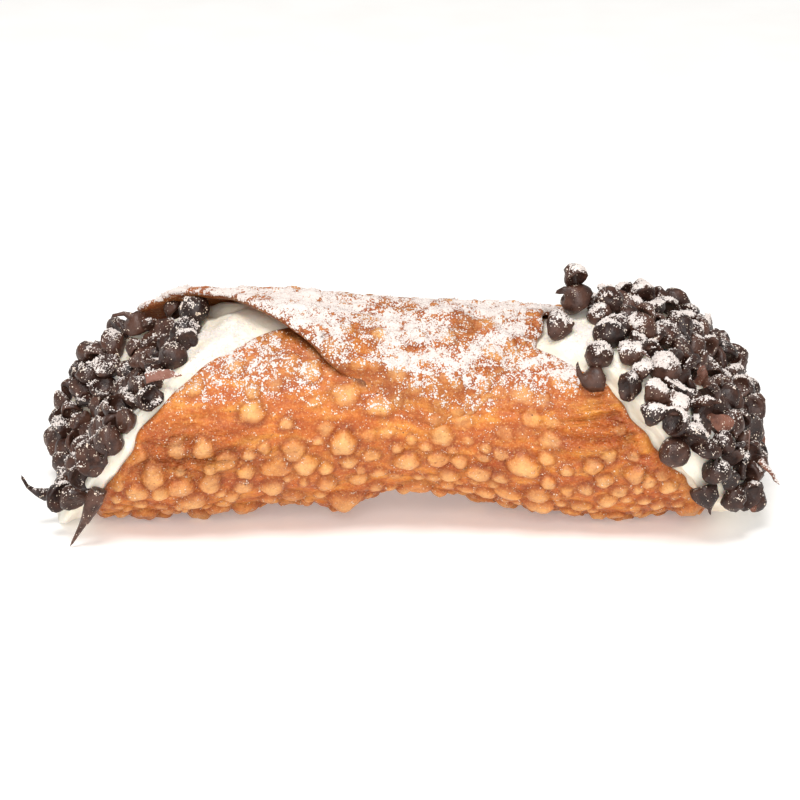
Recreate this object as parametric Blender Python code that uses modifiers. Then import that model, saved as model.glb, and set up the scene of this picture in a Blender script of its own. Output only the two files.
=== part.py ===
"""Cannoli: an oval sheet of dough rolled into a tube and fried, filled with sweet ricotta
cream, its two domed ends dipped in small chocolate chips.

X runs along the roll, the front is towards -Y and Z is up. The roll stands on Z = 0 with
the middle of its box over the origin. Angles go round the roll: 0 is the bottom, 90 the
front, 180 the top and -90 the back. Lengths are in metres.
"""

from math import acos, cos, degrees, exp, pi, radians, sin, sqrt
from typing import NamedTuple

import bmesh
import bpy
from mathutils import Vector

# The roll: narrowest near its middle, where it was tight on the frying tube, and wider
# towards both ends. It stands on its ends, with its waist arched clear of the table.
WAIST_RADIUS = 0.0194
WAIST_X = 0.005
FLARE = 0.0026
FLARE_REACH = 0.044
ARCH_HEIGHT = 0.0044
ARCH_REACH_LEFT = 0.060
ARCH_REACH_RIGHT = 0.043
FOOT_DEPTH = 0.0005

# The dough: an oval sheet, as long as the roll across its middle. One edge lies at the
# front, under the rounded tongue of the other, which comes over the top from the back.
DOUGH_THICKNESS = 0.0019
DOUGH_HALF_LENGTH = 0.0620
SHEET_MIDDLE_ANGLE = -5.5
FRONT_SPAN = 171.0
TONGUE_SPAN = 264.0
TONGUE_TAPER = 0.95
TONGUE_SKEW = 0.0070
TONGUE_SKEW_START = 175.0
TONGUE_SKEW_SPAN = 90.0
SEAL_GAP = 0.0005
CLIMB_START = 138.0
CLIMB_END = 188.0
LIFT_HEIGHT = 0.0022
LIFT_WIDTH = 0.016
LIFT_START = 176.0
LIFT_TOP = 208.0
LIFT_END = 240.0
RIPPLE_HEIGHT = 0.00025
RIPPLE_COUNT = 11
SHEET_DIVISIONS = (30, 27)

# The cream: it fills the tube and swells out of the slanting openings as two domes.
CREAM_CLEARANCE = 0.0009
LIP_MARGIN = 0.0010
BARE_BAND_SHARE = 0.45
CREAM_SEGMENTS = 30
DOME_RINGS = 5
TUBE_RINGS = 9

# The chips: each heap is one solid, from the cream out to its knobbly outline.
CHIP_WIDTH = 0.0060
HEAP_GAP = 0.0005
HEAP_HEIGHT = 0.0048
HEAP_VALLEY_SHARE = 0.42
HEAP_SEGMENTS = 50
HEAP_RINGS = 13
HEAP_CHIPS = 62
GOLDEN_ANGLE = 137.508
FLOOR_CLEARANCE = 0.0003


class End(NamedTuple):
    """One end of the roll, where the cream swells out of its opening."""

    side: int  # -1 for the left end, 1 for the right
    reach: float  # from the middle to the dome's rim, along the bottom
    notch: float  # how far the rim draws back towards the middle at the top
    notch_angle: float  # the angle round the roll where it draws back most
    notch_front: float  # how widely it draws back towards the front, as an angle
    notch_back: float  # the same towards the back
    swell: float  # how far the cream at the rim stands beyond the dough, in front
    sink: float  # how much lower it lies at the back and the top
    dome_out: float  # the dome's height along the roll
    dome_up: float  # how far its crown sits above the roll's axis
    heap_edge: float  # the heap of chips' edge, as the dome's angle from its crown
    heap_edge_under: float  # how much nearer to the crown that edge is underneath


LEFT = End(-1, 0.0670, 0.0290, 176, 94, 60, 0.0, 0.0050, 0.0104, -0.0075, 88, 54)
RIGHT = End(1, 0.0640, 0.0250, 170, 86, 70, 0.0003, 0.0020, 0.0140, -0.0010, 88, 44)
SINK_ANGLE = -150.0
UNDERSIDE_WIDTH = 56.0

DOUGH_COLOUR = (0.62, 0.27, 0.09)
CREAM_COLOUR = (0.88, 0.82, 0.68)
CHIP_COLOUR = (0.055, 0.028, 0.020)


def ease(low, high, value):
    """0 below low and 1 above high, with a smooth climb between them."""
    share = min(1.0, max(0.0, (value - low) / (high - low)))
    return share * share * (3 - 2 * share)


def between(a, b, share):
    return a + (b - a) * share


def turns_apart(a, b):
    """The smaller angle between two directions round the roll, in degrees."""
    return abs((a - b + 180) % 360 - 180)


def roll_radius(x):
    """The dough's outer radius where it is one layer thick."""
    return WAIST_RADIUS + FLARE * ease(0, FLARE_REACH, abs(x - WAIST_X))


def axis_height(x):
    """The height of the roll's axis: its feet reach just below Z = 0 and are cut flat."""
    reach = ARCH_REACH_LEFT if x < WAIST_X else ARCH_REACH_RIGHT
    from_waist = min(1.0, abs(x - WAIST_X) / reach)
    return roll_radius(x) + ARCH_HEIGHT * cos(from_waist * pi / 2) ** 2 - FOOT_DEPTH


def roll_point(x, angle, radius):
    turn = radians(angle)
    return Vector((x, -radius * sin(turn), axis_height(x) - radius * cos(turn)))


# ---- The dough ----


def sheet_skew(angle):
    """How far the tongue leans to the right as it comes over the top."""
    past_top = -angle - TONGUE_SKEW_START
    return TONGUE_SKEW * ease(0, TONGUE_SKEW_SPAN, past_top)


def sheet_half_width(angle):
    """Half of the sheet's length along the roll at this angle, 0 beyond its edges."""
    from_middle = angle - SHEET_MIDDLE_ANGLE
    span = FRONT_SPAN if from_middle >= 0 else TONGUE_SPAN
    left = max(0.0, 1 - (from_middle / span) ** 2)
    return DOUGH_HALF_LENGTH * left ** (0.5 if from_middle >= 0 else TONGUE_TAPER)


def sheet_place(p, q):
    """(x, angle) of a point of the unit disc on the rolled sheet."""
    span = FRONT_SPAN if q >= 0 else TONGUE_SPAN
    angle = SHEET_MIDDLE_ANGLE + span * q
    squeeze = 1.0 if q >= 0 else max(1e-6, 1 - q * q) ** (TONGUE_TAPER - 0.5)
    return DOUGH_HALF_LENGTH * p * squeeze + sheet_skew(angle), angle


def sheet_lift(x, angle):
    """How far the sheet stands above the single layer: the tongue climbs onto the front
    layer, and its left edge curls up from it."""
    back = -angle
    climb = (DOUGH_THICKNESS + SEAL_GAP) * ease(CLIMB_START, CLIMB_END, back)
    from_left_edge = x - sheet_skew(angle) + sheet_half_width(angle)
    curl = 1 - ease(0, LIFT_WIDTH, from_left_edge)
    along = ease(LIFT_START, LIFT_TOP, back) * (1 - ease(LIFT_TOP, LIFT_END, back))
    return climb + LIFT_HEIGHT * curl * along


def disc_of_square(u, v):
    """A point of the unit square carried to the unit disc."""
    return u * sqrt(1 - v * v / 2), v * sqrt(1 - u * u / 2)


def sheet_point(u, v):
    x, angle = sheet_place(*disc_of_square(u, v))
    ripple = RIPPLE_HEIGHT * sin(RIPPLE_COUNT * radians(angle)) * cos(x / FLARE_REACH)
    radius = roll_radius(x) + sheet_lift(x, angle) + ripple
    point = roll_point(x, angle, radius)
    point.z = max(0.0, point.z)
    return point


WAIST_MIDDLE = roll_point(WAIST_X, 0, 0)


def face_away(mesh, inside):
    """Turn the faces so that they look away from a point inside the roll."""
    bmesh.ops.recalc_face_normals(mesh, faces=mesh.faces)
    outward = sum(
        face.normal.dot(face.calc_center_median() - inside) * face.calc_area()
        for face in mesh.faces
    )
    if outward < 0:
        bmesh.ops.reverse_faces(mesh, faces=mesh.faces)
    mesh.normal_update()


def make_shell(collection):
    """The fried dough: a flat grid, rolled up and given its thickness inwards."""
    mesh = bmesh.new()
    bmesh.ops.create_grid(
        mesh, x_segments=SHEET_DIVISIONS[0], y_segments=SHEET_DIVISIONS[1], size=1
    )
    for vertex in mesh.verts:
        vertex.co = sheet_point(vertex.co.x, vertex.co.y)
    face_away(mesh, WAIST_MIDDLE)
    shell = add_object("shell", mesh, "fried_dough", DOUGH_COLOUR, 0.55, collection)
    thickness = shell.modifiers.new("thickness", "SOLIDIFY")
    thickness.thickness = DOUGH_THICKNESS
    thickness.offset = -1
    thickness.use_even_offset = True
    return shell


# ---- The cream ----


def covered_half_length(angle):
    """How far from the middle the dough reaches in this direction, counting the tongue
    where it lies over the front layer or past it."""
    around = (angle + 180) % 360 - 180
    return max(sheet_half_width(around), sheet_half_width(around - 360))


def rim_x(end, angle):
    """Where the dome of cream starts, measured along the roll."""
    past_notch = (angle - end.notch_angle + 180) % 360 - 180
    width = end.notch_back if past_notch > 0 else end.notch_front
    return end.side * (end.reach - end.notch * exp(-((past_notch / width) ** 2)))


def rim_radius(end, x, angle):
    """The radius of the cream in the opening, where it swells past the dough."""
    share = (1 + cos(radians(angle - SINK_ANGLE))) / 2
    return roll_radius(x) + end.swell - end.sink * share


def cream_radius(x):
    return roll_radius(x) - DOUGH_THICKNESS - CREAM_CLEARANCE


def dome_point(end, crown_angle, angle):
    """A point of an end's dome, from its crown at 0 degrees to its rim at 90."""
    x = rim_x(end, angle)
    rim = roll_point(x, angle, rim_radius(end, x, angle))
    middle_x = (rim_x(end, 0) + rim_x(end, 180)) / 2
    middle = Vector((middle_x, 0, axis_height(middle_x)))
    crown = middle + Vector((end.side * end.dome_out, 0, end.dome_up))
    turn = radians(crown_angle)
    point = middle + (rim - middle) * sin(turn) + (crown - middle) * cos(turn)
    point.z = max(FLOOR_CLEARANCE, point.z)
    return point


def band_point(end, share, angle):
    """A point of the bare band, from the dome's rim at 0 to the dough's lip at 1."""
    rim = rim_x(end, angle)
    lip = end.side * (covered_half_length(angle) + LIP_MARGIN)
    lip = end.side * min(abs(lip), abs(rim) - LIP_MARGIN)
    if share >= 1:
        return roll_point(lip, angle, cream_radius(lip))
    x = between(rim, lip, share)
    point = roll_point(x, angle, rim_radius(end, x, angle))
    point.z = max(FLOOR_CLEARANCE, point.z)
    return point


def tube_point(share, angle):
    """A point of the filling inside the tube, from the left lip at 0 to the right at 1."""
    left, right = band_point(LEFT, 1, angle).x, band_point(RIGHT, 1, angle).x
    x = between(left, right, share)
    return roll_point(x, angle, cream_radius(x))


def cream_point(ring, angle):
    """The point of the cream at this ring of the sphere that it starts as."""
    if ring <= DOME_RINGS:
        return dome_point(LEFT, 90 * ring / DOME_RINGS, angle)
    ring -= DOME_RINGS
    if ring <= 2:
        return band_point(LEFT, BARE_BAND_SHARE if ring == 1 else 1, angle)
    ring -= 2
    if ring < TUBE_RINGS:
        return tube_point(ring / TUBE_RINGS, angle)
    ring -= TUBE_RINGS
    if ring <= 1:
        return band_point(RIGHT, 1 if ring == 0 else BARE_BAND_SHARE, angle)
    ring -= 2
    return dome_point(RIGHT, 90 * (1 - ring / DOME_RINGS), angle)


def sphere_place(co):
    """(degrees from the pole at +Z, degrees round it) of a point of the unit sphere."""
    polar = degrees(acos(max(-1.0, min(1.0, co.z))))
    around = degrees(Vector((1, 0)).angle_signed(Vector((co.x, co.y)), 0))
    return polar, around


def make_cream(collection):
    """The filling: a sphere whose rings are drawn out along the roll."""
    rings = 2 * (DOME_RINGS + 2) + TUBE_RINGS
    mesh = bmesh.new()
    bmesh.ops.create_uvsphere(
        mesh, u_segments=CREAM_SEGMENTS, v_segments=rings, radius=1
    )
    for vertex in mesh.verts:
        polar, around = sphere_place(vertex.co)
        vertex.co = cream_point(round(rings * polar / 180), around)
    face_away(mesh, WAIST_MIDDLE)
    return add_object("cream", mesh, "ricotta", CREAM_COLOUR, 0.5, collection)


# ---- The chips ----


def heap_point(end, share, angle):
    """A point of the cream under the heap, from the crown at 0 to the heap's edge at 1."""
    under = exp(-((turns_apart(angle, 0) / UNDERSIDE_WIDTH) ** 2))
    edge = end.heap_edge - end.heap_edge_under * under
    return dome_point(end, share * edge, angle)


def chip_places(end):
    """The chips' places over the dome, spread evenly by the golden angle."""
    for i in range(HEAP_CHIPS):
        share = sqrt((i + 0.5) / HEAP_CHIPS)
        yield heap_point(end, share, (i * GOLDEN_ANGLE) % 360 - 180)


def knob(point, chips):
    """0 in the hollow between chips, 1 on top of one."""
    nearest = min((point - chip).length for chip in chips) / (CHIP_WIDTH / 2)
    return sqrt(max(0.0, 1 - min(1.0, nearest * nearest)))


def make_heap(end, name, collection):
    """A heap of chips: half a sphere laid over the dome, then thickened outwards, most
    where a chip sits."""
    mesh = bmesh.new()
    bmesh.ops.create_uvsphere(
        mesh, u_segments=HEAP_SEGMENTS, v_segments=2 * HEAP_RINGS, radius=1
    )
    below = [v for v in mesh.verts if v.co.z < -0.5 / HEAP_RINGS]
    bmesh.ops.delete(mesh, geom=below, context="VERTS")
    for vertex in mesh.verts:
        polar, around = sphere_place(vertex.co)
        vertex.co = heap_point(end, polar / 90, around)
    face_away(mesh, WAIST_MIDDLE)
    for vertex in mesh.verts:
        vertex.co += vertex.normal * HEAP_GAP
    heap = add_object(name, mesh, "chocolate", CHIP_COLOUR, 0.45, collection)
    knobs = heap.vertex_groups.new(name="knobs")
    chips = list(chip_places(end))
    for vertex in heap.data.vertices:
        knobs.add([vertex.index], knob(vertex.co, chips), "REPLACE")
    thickness = heap.modifiers.new("thickness", "SOLIDIFY")
    thickness.thickness = HEAP_HEIGHT
    thickness.offset = 1
    thickness.vertex_group = knobs.name
    thickness.thickness_vertex_group = HEAP_VALLEY_SHARE
    return heap


# ---- The whole ----


def add_object(name, mesh, material_name, colour, roughness, collection):
    data = bpy.data.meshes.new(name)
    mesh.to_mesh(data)
    mesh.free()
    data.shade_smooth()
    data.materials.append(make_material(material_name, colour, roughness))
    made = bpy.data.objects.new(name, data)
    collection.objects.link(made)
    return made


def make_material(name, colour, roughness):
    material = bpy.data.materials.get(name) or bpy.data.materials.new(name)
    material.use_nodes = True
    shader = material.node_tree.nodes["Principled BSDF"]
    shader.inputs["Base Color"].default_value = (*colour, 1)
    shader.inputs["Roughness"].default_value = roughness
    shader.inputs["Metallic"].default_value = 0
    return material


def clear_scene():
    for existing in list(bpy.data.objects):
        bpy.data.objects.remove(existing)


def main():
    clear_scene()
    collection = bpy.data.collections.new("cannoli")
    bpy.context.scene.collection.children.link(collection)
    make_shell(collection)
    make_cream(collection)
    make_heap(LEFT, "chips_left", collection)
    make_heap(RIGHT, "chips_right", collection)


main()
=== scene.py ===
"""Cannoli: an oval sheet of dough rolled into a tube and fried, filled with sweet ricotta
cream, its two domed ends dipped in mini chocolate drops, dusted with icing sugar.

X runs along the roll, the front is towards -Y and Z is up. Angles are in degrees and go
round the roll: 0 is the bottom, 90 the front, 180 the top and -90 the back. On the sheet
of dough they run from 165 at the edge in front, through the bottom and the back, to -270,
where the tongue that comes over the top ends above the front. Lengths are in metres.
"""

import logging
from collections.abc import Callable
from dataclasses import dataclass, field
from enum import Enum
from functools import partial
from math import cos, pi, radians, sin

import bmesh
import bpy
import numpy as np
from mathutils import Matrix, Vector, noise
from mathutils.bvhtree import BVHTree


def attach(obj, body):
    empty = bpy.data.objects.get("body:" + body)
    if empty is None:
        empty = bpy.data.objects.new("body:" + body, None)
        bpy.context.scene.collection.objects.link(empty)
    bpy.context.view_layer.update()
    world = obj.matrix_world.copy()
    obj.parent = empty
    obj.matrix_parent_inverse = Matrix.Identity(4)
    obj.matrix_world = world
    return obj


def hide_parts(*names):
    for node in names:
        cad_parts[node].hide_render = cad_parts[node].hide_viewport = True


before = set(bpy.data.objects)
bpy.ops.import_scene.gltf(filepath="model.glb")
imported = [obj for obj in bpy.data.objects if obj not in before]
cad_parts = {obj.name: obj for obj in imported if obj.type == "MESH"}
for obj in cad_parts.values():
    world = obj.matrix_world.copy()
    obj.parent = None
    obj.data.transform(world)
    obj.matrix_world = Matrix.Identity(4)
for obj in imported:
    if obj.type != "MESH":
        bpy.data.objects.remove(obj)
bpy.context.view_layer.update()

Array = np.ndarray
Colour = tuple[float, float, float, float]
Faces = list[tuple[int, ...]]
Inputs = dict[int | str, object]
Socket = bpy.types.NodeSocket
Adder = Callable[..., Socket]
log = logging.getLogger("cannoli")
MM = 0.001


# ---- Numbers ----


def ease(low: float, high: float, value: Array) -> Array:
    """0 below low and 1 above high, with a smooth climb between them."""
    share = np.clip((value - low) / (high - low), 0.0, 1.0)
    return share * share * (3 - 2 * share)


def bell(value: Array, centre: float, width: float) -> Array:
    """1 at the centre, falling away smoothly over the width."""
    return np.exp(-(((value - centre) / width) ** 2))


def between(a: Array, b: Array, share: Array) -> Array:
    """The value that lies this share of the way from a to b."""
    return a + (b - a) * share


def cloud(points: Array, size: float, seed: float, octaves: int = 1) -> Array:
    """Smooth noise at the given points.

    Args:
        points: positions in metres, one row each.
        size: how far apart its hills lie.
        seed: moves it to another part of the pattern.
        octaves: how many layers are added, each half as big and half as strong.

    Returns:
        One number for each point, mostly from -1 to 1.
    """
    total = np.zeros(len(points))
    for octave in range(octaves):
        places = points / size * 2**octave + 17.31 * (seed + octave)
        layer = [noise.noise(place) for place in places.tolist()]
        total += np.array(layer) * 1.5 / 2**octave
    return total


def unit(vectors: Array) -> Array:
    """The same directions with a length of 1."""
    length = np.linalg.norm(vectors, axis=-1, keepdims=True)
    return vectors / np.maximum(length, 1e-12)


# ---- Meshes ----


def read_rows(data: bpy.types.bpy_prop_collection, name: str) -> Array:
    """Read a value of three numbers from every item.

    Args:
        data: the items.
        name: the value's name.

    Returns:
        One row for each item.
    """
    flat = np.empty(len(data) * 3, np.float32)
    data.foreach_get(name, flat)
    return flat.reshape(-1, 3).astype(float)


def positions(mesh: bpy.types.Mesh) -> Array:
    """A mesh's vertices, one row each."""
    return read_rows(mesh.vertices, "co")


def normals(mesh: bpy.types.Mesh) -> Array:
    """The normal at each of a mesh's vertices, one row each."""
    return read_rows(mesh.vertex_normals, "vector")


def move_vertices(mesh: bpy.types.Mesh, points: Array) -> None:
    """Put a mesh's vertices at new places."""
    mesh.vertices.foreach_set("co", points.astype(np.float32).ravel())
    mesh.update()


def paint(mesh: bpy.types.Mesh, name: str, values: Array) -> None:
    """Store one number per vertex, for the materials to read."""
    layer = mesh.attributes.get(name) or mesh.attributes.new(name, "FLOAT", "POINT")
    layer.data.foreach_set("value", values.astype(np.float32))


def face_outwards(mesh: bpy.types.Mesh) -> None:
    """Turn a closed mesh the right way out after its vertices were moved.

    Args:
        mesh: the mesh, which is changed.
    """
    shape = bmesh.new()
    shape.from_mesh(mesh)
    if shape.calc_volume(signed=True) < 0:
        bmesh.ops.reverse_faces(shape, faces=shape.faces)
        shape.to_mesh(mesh)
    shape.free()


def take_apart(shape: bmesh.types.BMesh) -> tuple[Array, Faces, Array]:
    """Read a finished bmesh in the order of its places, and free it. The operators leave
    another order each run, which the grains of sugar would follow.

    Args:
        shape: the bmesh.

    Returns:
        The vertices' positions, each face's vertices, and each face's material index.
    """
    shape.verts.index_update()
    points = np.round([tuple(vertex.co) for vertex in shape.verts], 7)
    order = np.lexsort(points.T)
    number = np.argsort(order).tolist()
    rows = []
    for face in shape.faces:
        corners = [number[vertex.index] for vertex in face.verts]
        first = corners.index(min(corners))
        rows.append((*corners[first:], *corners[:first], face.material_index))
    shape.free()
    rows.sort()
    return points[order], [row[:-1] for row in rows], np.array([row[-1] for row in rows])


def to_mesh(shape: bmesh.types.BMesh, name: str) -> bpy.types.Mesh:
    """Turn a finished bmesh into a smooth-shaded mesh and free it.

    Args:
        shape: the bmesh.
        name: the mesh's name.

    Returns:
        The mesh.
    """
    points, faces, _ = take_apart(shape)
    mesh = bpy.data.meshes.new(name)
    mesh.from_pydata(points.tolist(), [], faces)
    mesh.shade_smooth()
    return mesh


def add_piece(
    mesh: bpy.types.Mesh,
    materials: list[bpy.types.Material],
    node: str | None = None,
) -> bpy.types.Object:
    """Show a mesh as a piece of the cannoli.

    Args:
        mesh: the finished mesh, in place. The piece takes its name.
        materials: the piece's finishes, in the order of the faces' material index.
        node: the CAD node that it stands for.

    Returns:
        The piece, riding on the one body.
    """
    piece = bpy.data.objects.new(mesh.name, mesh)
    bpy.context.scene.collection.objects.link(piece)
    for material in materials:
        mesh.materials.append(material)
    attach(piece, "root")
    if node:
        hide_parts(node)
    mesh.calc_loop_triangles()
    log.info("%s: %d triangles", piece.name, len(mesh.loop_triangles))
    return piece


# ---- Finishes ----


def srgb(code: str) -> Colour:
    """Turn an sRGB hex colour to linear.

    Args:
        code: the colour, such as "d98953".

    Returns:
        Linear red, green, blue and alpha.
    """
    parts = [int(code[i : i + 2], 16) / 255 for i in (0, 2, 4)]
    linear = [c / 12.92 if c <= 0.04045 else ((c + 0.055) / 1.055) ** 2.4 for c in parts]
    return (*linear, 1.0)


def set_inputs(node: bpy.types.Node, inputs: Inputs) -> None:
    """Give a node's inputs their values and links.

    Args:
        node: the node.
        inputs: a value, or another node's output, for each input by name or number.
    """
    for name, value in inputs.items():
        if isinstance(value, Socket):
            node.id_data.links.new(value, node.inputs[name])
        else:
            node.inputs[name].default_value = value


def add_node(
    tree: bpy.types.NodeTree,
    kind: str,
    inputs: Inputs | None = None,
    ramp: list[tuple[float, str]] | None = None,
    out: int | str = 0,
    **settings: object,
) -> Socket:
    """Add a node with its settings and links.

    Args:
        tree: the material's node tree.
        kind: the node's type, without "ShaderNode".
        inputs: a value, or another node's output, for each input by name or number.
        ramp: places and hex colours, where the node is a colour ramp.
        out: the output that is asked for, by name or number.
        **settings: the node's own properties.

    Returns:
        The new node's output.
    """
    node = tree.nodes.new("ShaderNode" + kind)
    for name, value in settings.items():
        setattr(node, name, value)
    if ramp:
        stops = node.color_ramp.elements
        for place, _ in ramp[1:-1]:
            stops.new(place)
        for stop, (place, colour) in zip(stops, ramp):
            stop.position, stop.color = place, srgb(colour)
    set_inputs(node, inputs or {})
    return node.outputs[out]


def new_material(name: str) -> tuple[bpy.types.Material, bpy.types.Node, Adder]:
    """Start a material.

    Args:
        name: its name.

    Returns:
        The material, its Principled shader, and add_node for its tree.
    """
    material = bpy.data.materials.new(name)
    material.use_nodes = True
    tree = material.node_tree
    return material, tree.nodes["Principled BSDF"], partial(add_node, tree)


@dataclass(frozen=True)
class IcingSugar:
    """Icing sugar: sucrose milled to powder. It is a matt, warm white, lies thin and
    patchy, and gathers in small crumbs."""

    thick: str = "e6dcd6"
    thick_from: float = 0.3  # the amount from which it has that colour
    thin: str = "f0dcc6"
    thin_to: float = 0.05
    grain: float = 0.34 * MM  # its real grain is far too fine to show
    unlike: float = 0.5  # how much the grains differ
    apart: float = 0.55  # how clearly they stand apart
    crumb: float = 1.3 * MM
    spread: float = 0.72  # how much further it covers where more lies
    edge: float = 0.785  # the level above which it covers the surface
    blur: float = 0.06
    cover: float = 0.95
    film: float = 0.18  # its cover between the grains where the most lies
    film_from: float = 0.55
    depth: float = 0.12  # in millimetres
    bump: float = 0.9
    roughness: float = 0.9

    def make(self) -> bpy.types.Material:
        """The finish of loose grains, which reads each grain's tone.

        Returns:
            The material.
        """
        material, shader, node = new_material("icing_sugar")
        tone = node("Attribute", attribute_name="tone", out="Fac")
        colour = node("ValToRGB", {0: tone}, self.tints(self.thin))
        set_inputs(shader, {"Base Color": colour, "Roughness": self.roughness})
        return material

    def tints(self, thin: str) -> list[tuple[float, str]]:
        """Its colours, from the amount where it lies thinly to where it lies thickly."""
        return [(self.thin_to, thin), (self.thick_from, self.thick)]

    def dust(
        self,
        node: Adder,
        shader: bpy.types.Node,
        place: Socket,
        colour: Socket,
        roughness: float,
        relief: Socket,
        thin: str | None = None,
    ) -> None:
        """Lay the powder over another finish, as far as the "sugar" attribute says.

        Args:
            node: adds a node to the finish.
            shader: the shader to complete.
            place: the position that the patterns follow.
            colour: the bare surface's colour.
            roughness: the bare surface's roughness.
            relief: the bare surface's height in millimetres.
            thin: the powder's colour where it lies thinly, if not its own.
        """
        amount = node("Attribute", attribute_name="sugar", out="Fac")
        grains = node("TexVoronoi", {"Vector": place, "Scale": 1 / self.grain}, out="Color")
        gaps = grains.node.outputs["Distance"]
        level = node("TexNoise", {"Vector": place, "Scale": 1 / self.crumb, "Detail": 3.0})
        for value, share in ((grains, self.unlike), (gaps, -self.apart), (amount, self.spread)):
            level = node("Math", {0: value, 1: share, 2: level}, operation="MULTIPLY_ADD")
        limits = {"From Min": self.edge, "From Max": self.edge + self.blur}
        limits = {0: level, **limits, "To Max": self.cover}
        specks = node("MapRange", limits, interpolation_type="SMOOTHSTEP")
        limits = {"From Min": self.film_from, "From Max": 1.0, "To Max": self.film}
        film = node("MapRange", {0: amount, **limits})
        mask = node("Math", {0: specks, 1: film}, operation="MAXIMUM")
        powder = node("ValToRGB", {0: amount}, self.tints(thin or self.thin))
        dusted = node("Mix", {0: mask, 6: colour, 7: powder}, data_type="RGBA", out=2)
        matt = node("MapRange", {0: mask, "To Min": roughness, "To Max": self.roughness})
        height = node("Math", {0: mask, 1: self.depth, 2: relief}, operation="MULTIPLY_ADD")
        bump = node("Bump", {"Height": height, "Distance": MM, "Strength": self.bump})
        set_inputs(shader, {"Base Color": dusted, "Roughness": matt, "Normal": bump})


@dataclass(frozen=True)
class FriedDough:
    """Wheat dough with lard and wine, deep fried: golden brown, its blisters paler, with a
    satin film of frying fat.
    The creases between the blisters, the pits and the grooves are darkened with painted shade."""

    brown: str = "ac4e15"
    golden: str = "c66920"
    light: str = "dd9038"
    blister: str = "f0bc7a"
    # The colour painted as shade in the creases round the blisters, in pits and in grooves.
    crease: str = "7a3410"
    # Toasted brown, which is also painted as shade on the sheet's inner side.
    toast: str = "8e4a22"
    # Scorched brown, which is also painted as shade on the inner side and as shadow on the
    # dough under the tongue.
    scorch: str = "4a2210"
    streak: tuple[float, float, float] = (0.45, 1.0, 1.0)  # drawn out along the roll
    mottle: float = 3.4 * MM
    fold: float = 1.7 * MM
    freckle: float = 1.1 * MM
    bubble: float = 0.95 * MM
    pore: float = 0.4 * MM
    pin_hole: float = 4.5 * MM  # how far apart they lie
    roughness: float = 0.34
    gloss: float = 0.4

    def make(self, sugar: IcingSugar) -> bpy.types.Material:
        """The finish, with icing sugar over it.

        Args:
            sugar: the icing sugar.

        Returns:
            The material, which reads the sheet's attributes.
        """
        material, shader, node = new_material("fried_dough")
        place = node("TexCoord", out="Object")
        drawn = node("Mapping", {0: place, "Scale": self.streak})
        coarse = {"Detail": 4.0, "Roughness": 0.6}
        fine = {"Detail": 3.0, "Roughness": 0.65}
        mottle, folds, pores, freckles, bubbles, holes = (
            node("Tex" + kind, {"Vector": at, "Scale": 1 / size, **detail})
            for kind, at, size, detail in (
                ("Noise", drawn, self.mottle, coarse),
                ("Noise", drawn, self.fold, coarse),
                ("Noise", place, self.pore, fine),
                ("Noise", place, self.freckle, fine),
                ("Voronoi", place, self.bubble, {}),
                ("Voronoi", place, self.pin_hole, {}),
            )
        )
        off = node("Math", {0: folds, 1: 0.5}, operation="SUBTRACT")
        groove = node("Math", {0: off}, operation="ABSOLUTE")
        wrinkled = node("Attribute", attribute_name="fold", out="Fac")
        tints = []  # (hex colour, how much of it is mixed in), in that order
        # Of these attribute tints the second is painted shade, and the third and fourth are
        # browning with painted shade and painted shadow mixed in.
        for name, tint, most in (
            ("blister", self.blister, 0.85),
            ("crease", self.crease, 0.55),
            ("toast", self.toast, 0.85),
            ("scorch", self.scorch, 0.9),
        ):
            value = node("Attribute", attribute_name=name, out="Fac")
            tints.append((tint, node("Math", {0: value, 1: most}, operation="MULTIPLY")))
        # Each pattern's tint starts at one of its values and is strongest at another. The dark
        # tint in the pits between the pores and at the edges of the bubbles is painted shade.
        for value, start, end, tint, most in (
            (pores, 0.55, 0.70, self.blister, 0.5),
            (pores, 0.45, 0.30, self.crease, 0.4),
            (bubbles, 0.34, 0.08, self.blister, 0.14),
            (bubbles, 0.5, 0.8, self.crease, 0.14),
            (freckles, 0.36, 0.30, self.toast, 0.6),
            (holes, 0.05, 0.03, self.scorch, 0.9),
        ):
            limits = {"From Min": start, "From Max": end, "To Max": most}
            tints.append((tint, node("MapRange", {0: value, **limits})))
        # Painted shade along the bottoms of the fold grooves.
        limits = {"From Min": 0.06, "From Max": 0.0, "To Max": 0.45}
        line = node("MapRange", {0: groove, **limits})
        line = node("Math", {0: line, 1: wrinkled}, operation="MULTIPLY")
        tints.append((self.crease, line))
        tones = [(0.34, self.brown), (0.5, self.golden), (0.68, self.light)]
        colour = node("ValToRGB", {0: mottle}, tones)
        for tint, share in tints:
            mix = {0: share, 6: colour, 7: srgb(tint)}
            colour = node("Mix", mix, data_type="RGBA", out=2)
        relief = node("Math", {0: freckles, 1: 0.3}, operation="MULTIPLY")
        ridges = node("Math", {0: groove, 1: wrinkled}, operation="MULTIPLY")
        for value, height in ((pores, 0.16), (bubbles, -0.06), (ridges, 2.6)):  # in mm
            relief = node("Math", {0: value, 1: height, 2: relief}, operation="MULTIPLY_ADD")
        set_inputs(shader, {"Specular IOR Level": self.gloss})
        sugar.dust(node, shader, place, colour, self.roughness, relief)
        return material


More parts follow.
